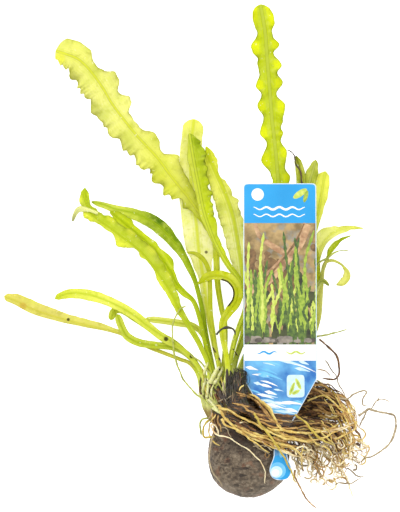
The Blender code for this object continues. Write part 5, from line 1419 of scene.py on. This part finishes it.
for row in (
    ("-10 20.4, -3 18.8, 4 17, 11 15.2, 18 14.4, 25 14.2, 31 14.6", 2.0, 30, 0.3, 0.55, BROWNS, 3),
    ("-12 15.4, -6 12.4, 0 8.8, 5 5.8, 9 3.6", 1.5, 16, 0.25, 0.5, BROWNS, 5),
    ("22 20, 26 20.8, 30 20.2, 35 19, 40 17", 3.2, 22, 0.3, 0.55, BROWNS, 7),
    ("34 24, 37 19, 39.5 14, 42 9, 44 4", 3.4, 12, 0.25, 0.4, [TAN, CREAM, YELLOW, BROWN], 9),
    ("29 15, 34 13.6, 39 14, 44 15.6", 4.0, 12, 0.25, 0.45, [TAN, CREAM, YELLOW, BROWN], 11),
    ("-7 33, -6.6 28, -5.6 23, -4 18, -1 14", 2.8, 24, 0.25, 0.5, [BLACK, BLACK, DARK, BROWN], 13),
    ("-12 28, -11.4 25, -10.4 22, -8.6 19", 1.5, 12, 0.25, 0.5, [DARK, BROWN, BROWN, GREY], 15),
    ("-6 26, -1 25, 4 21.6, 8 18, 12 14.4", 1.8, 18, 0.3, 0.5, BROWNS, 17),
    ("-7 22.6, -2 21.6, 3 19.8, 8 17, 13 14.6", 1.3, 16, 0.3, 0.5, BROWNS, 19),
    ("13 13.4, 17 14, 21 15.2, 26 16.4", 1.0, 10, 0.35, 0.55, [DARK, DARK, BROWN], 23),
    ("-8 21, -2 19.6, 4 17, 9 14", 2.6, 14, 0.35, 0.6, [BLACK, DARK, DARK], 25),
    ("-11 16.4, -5 13.6, 1 10.4, 6 7.4", 1.8, 10, 0.3, 0.5, [DARK, DARK, BROWN], 27),
    ("-9 36, -9 31, -8.6 26, -8 21.5", 1.5, 18, 0.3, 0.5, [BLACK, BLACK, DARK], 29),
    ("-12.9 29, -12.4 25.8, -11.2 22.4", 1.3, 14, 0.3, 0.5, [DARK, DARK, BLACK, BROWN], 31),
    ("-5.4 36, -5 31, -4.4 27", 1.3, 10, 0.3, 0.5, [BLACK, BLACK, DARK], 33),
):
    LEFTWARD += sheaf(*row)
LEFTWARD += strands("""
    yellow 0.55: -1 26, 2.5 24.6, 5.3 22.5, 7.8 19.7, 9.3 17, 10.4 15.1, 12.6 12.5;
    yellow 0.55: -13 19.8, -10 16.6, -7 13.7, -3 11.5, 2 9.8, 8 8.5, 14 7.6, 20 7, 25 5.4;
    yellow 0.6: -14.6 21, -12 20.5, -8 18.5, -4 16.6, 0 14.6, 4 12.5, 8 11.2, 12 10.6;
    yellow 0.45: -6 10.8, 0 8.2, 4 6.6, 8 4.6, 10 3.4;
    tan 0.42: 1 15.6, 4 14.6, 9 12.8, 15 12, 21 12.2, 26 12.8;
    yellow 0.45: 12 5.6, 16 4.6, 19 3, 21 0.4, 22 -2.4;
    dark 0.5: 2 21, 7 18, 12 16.4, 18 15.8, 24 15.4;
    dark 0.5: 3 19.6, 9 16.4, 14 15.2, 20 14.4, 27 13.4;
    dark 0.45: 4 18, 10 15, 16 13.8, 22 13;
    brown 0.45: 5 16.6, 11 13.9, 17 12.8, 24 12;
    dark 0.45: -9 23.6, -4 21.6, 1 18, 5 14.6, 9 12;
    brown 0.45: -8 20.4, -3 18.6, 1.6 15.4, 6 11.6;
    brown 0.4: -7 18, -2 16, 3 12.6, 8 8.6, 13 6.4;
    dark 0.35: -5 9.6, 0 6, 4 5, 8.4 4;
    tan 0.45: -4.5 25.8, -1 24.9, 2 23.5, 4.2 21.5, 5.8 18.9, 7.3 16.5, 9.2 15, 12 13.2;
    tan 0.4: -5.6 21.8, -3.5 21.6, -1.5 20, 0 19, 1.3 18.8;
    cream 0.42: -4.6 14.1, -3 14.4, -1.2 13.7, -0.5 12.7;
    yellow 0.38: 0 12.3, 1.5 11.7, 3.4 10.8;
    grey 0.36: 0.4 8.3, 1.2 6.8, 2.5 4.5, 4.5 2.9, 6.5 2, 8.4 0.8;
    cream 0.34: 4.6 7.2, 6.3 5, 7.8 3.3, 9 2.5;
    grey 0.26: -12 11.8, -10.8 12, -9.5 11, -8.9 9.3, -8 8;
    yellow 0.35: -4.6 27.5, -4 29, -2.8 30;
    grey 0.3: 1 4.2, 3 4.4, 5 4.8, 6.2 5.2;
    tan 0.24: 6.6 2.2, 6 0.6, 7.2 -0.2, 8 1
""")

lock(
    "lock_under",
    "3 22, 10 22.5, 20 20, 29 18.5, 37 16.5, 44 13.5",
    "0 2.4, 0.3 5.6, 0.75 6.2, 0.95 3.6, 1 1.2",
    0.32, 190, 0.2, 0.55, DEEP, 0.7, lengths=(0.3, 0.75),
)
lock(
    "lock_upper",
    "-1 24.5, 6 25.2, 16 26, 27 26, 36 22, 42 16.5, 45.5 9",
    "0 1.6, 0.3 3.6, 0.6 4.4, 0.78 4, 0.95 2.2, 1 0.6",
    0.36, 140, 0.2, 0.55, DEEP, 0.9, hairs=2, lengths=(0.25, 0.7),
)
lock(
    "lock_fringe_left",
    "19.2 11.5, 19.6 6, 19.9 0, 20.4 -5, 21.2 -10",
    "0 1.3, 0.3 1.8, 0.5 2.1, 0.8 2.1, 1 0.8",
    0.5, 9, 0.34, 0.58, PALE, 2.4, step=0.4, late=0.3,
)
lock(
    "lock_fringe_mid",
    "24.2 12, 25.6 6, 26.7 0, 28 -6, 29.5 -13",
    "0 2.2, 0.25 3.4, 0.5 3.8, 0.8 3.4, 1 1.2",
    0.45, 14, 0.36, 0.62, PALE, 3.2, step=0.4, late=0.4, drawn=DOWN,
)
lock(
    "lock_fringe_right",
    "31.6 13, 33.8 6, 35.6 0, 37.4 -5.5, 39.6 -10.5",
    "0 2.8, 0.3 3.9, 0.55 4.2, 0.8 3.8, 1 1.4",
    0.45, 16, 0.36, 0.62, PALE, 3.2, step=0.4, late=0.4,
)
lock(
    "lock_fringe_far",
    "40.4 13, 42.5 7, 44.6 1, 46.6 -5",
    "0 2.4, 0.35 3.2, 0.7 3.6, 0.85 3, 1 1",
    0.5, 11, 0.34, 0.58, PALE, 3.0, step=0.4, late=0.4,
)
lock(
    "lock_middle",
    "3.5 20.3, 9 18.6, 15.5 15.5, 21 13.2, 28 11.6, 35 9, 40 4, 42 -2",
    "0 1.2, 0.3 2.6, 0.7 3.8, 0.95 2, 1 0.5",
    0.36, 60, 0.26, 0.6, WARM, 0.8, drawn=ACROSS, lengths=(0.4, 0.85),
)
lock(
    "lock_over",
    "-2 21, 2 17.5, 8 13.5, 15 10.5, 23 8.8, 31 6.5, 36 1, 38.5 -6",
    "0 1.2, 0.3 2.4, 0.7 3.4, 0.95 1.8, 1 0.5",
    0.35, 46, 0.24, 0.6, WARM, 0.7, lengths=(0.4, 0.8),
)
lock(
    "lock_front",
    "-8 17, -2.5 12, 4 8.3, 10.5 5.6, 17.5 3, 24 0.5, 29 -4, 31 -10",
    "0 1.1, 0.3 2.1, 0.7 2.8, 0.95 1.6, 1 0.5",
    0.35, 36, 0.24, 0.6, WARM, 0.7, drawn=LEFTWARD, lengths=(0.4, 0.8),
)
lock(
    "fibre_tuft",
    "-5 19, -5.8 24, -5.6 29, -4.2 33, -2.6 36",
    "0 2.2, 0.35 3.6, 0.75 3.2, 0.95 2.6, 1 1",
    0.4, 150, 0.12, 0.26, [BLACK], 1.2, step=0.6, hairs=0, drawn=CROWN, on_crown=True,
)


# Floor, light and camera


FLOOR_HEIGHT = -0.3


def stage():
    """A plain pale floor that glows a little, an even sky and two soft lamps."""
    mesh = bpy.data.meshes.new("floor")
    corners = [(x, y, FLOOR_HEIGHT * MM) for x, y in ((-2, -2), (2, -2), (2, 2), (-2, 2))]
    mesh.from_pydata(corners, [], [(0, 1, 2, 3)])
    white = Shader("floor_white")
    face = white.add(
        "BsdfPrincipled", Base_Color=(0.80, 0.80, 0.80, 1), Roughness=0.9, Specular_IOR_Level=0.1,
        Emission_Color=(1, 1, 1, 1), Emission_Strength=0.75,
    )
    floor = finish_piece(mesh, [white.close(face)])
    world = bpy.data.worlds.new("studio")
    world.use_nodes = True
    background = world.node_tree.nodes["Background"]
    background.inputs[0].default_value = (1.0, 1.0, 1.0, 1.0)
    background.inputs[1].default_value = 0.92
    bpy.context.scene.world = world
    for name, place, power, size in (
        ("key", (-0.55, 0.75, 1.1), 15.0, 0.8),
        ("fill", (0.8, -0.3, 1.0), 7.0, 1.0),
    ):
        light = bpy.data.lights.new(name, "AREA")
        light.energy = power
        light.size = size
        obj = bpy.data.objects.new(name, light)
        obj.location = place
        aim = Vector((-0.02, 0.08, 0)) - obj.location
        obj.rotation_euler = aim.to_track_quat("-Z", "Y").to_euler()
        bpy.context.scene.collection.objects.link(obj)


def camera():
    """Straight above the plant, far off: the photograph's 400 by 512 pixels at 0.42 mm each."""
    pixel, wide, tall, height = 0.42, 400, 512, 1600.0
    origin = 250, 455
    data = bpy.data.cameras.new("camera")
    data.sensor_width = 36.0
    data.lens = data.sensor_width * height / (tall * pixel)
    data.clip_start = 0.05
    data.clip_end = 20.0
    obj = bpy.data.objects.new("camera", data)
    x, y = (wide / 2 - origin[0]) * pixel, (origin[1] - tall / 2) * pixel
    obj.location = Vector((x, y, height + 12)) * MM
    bpy.context.scene.collection.objects.link(obj)
    bpy.context.scene.camera = obj


stage()
camera()
bpy.context.scene.view_settings.view_transform = "Standard"
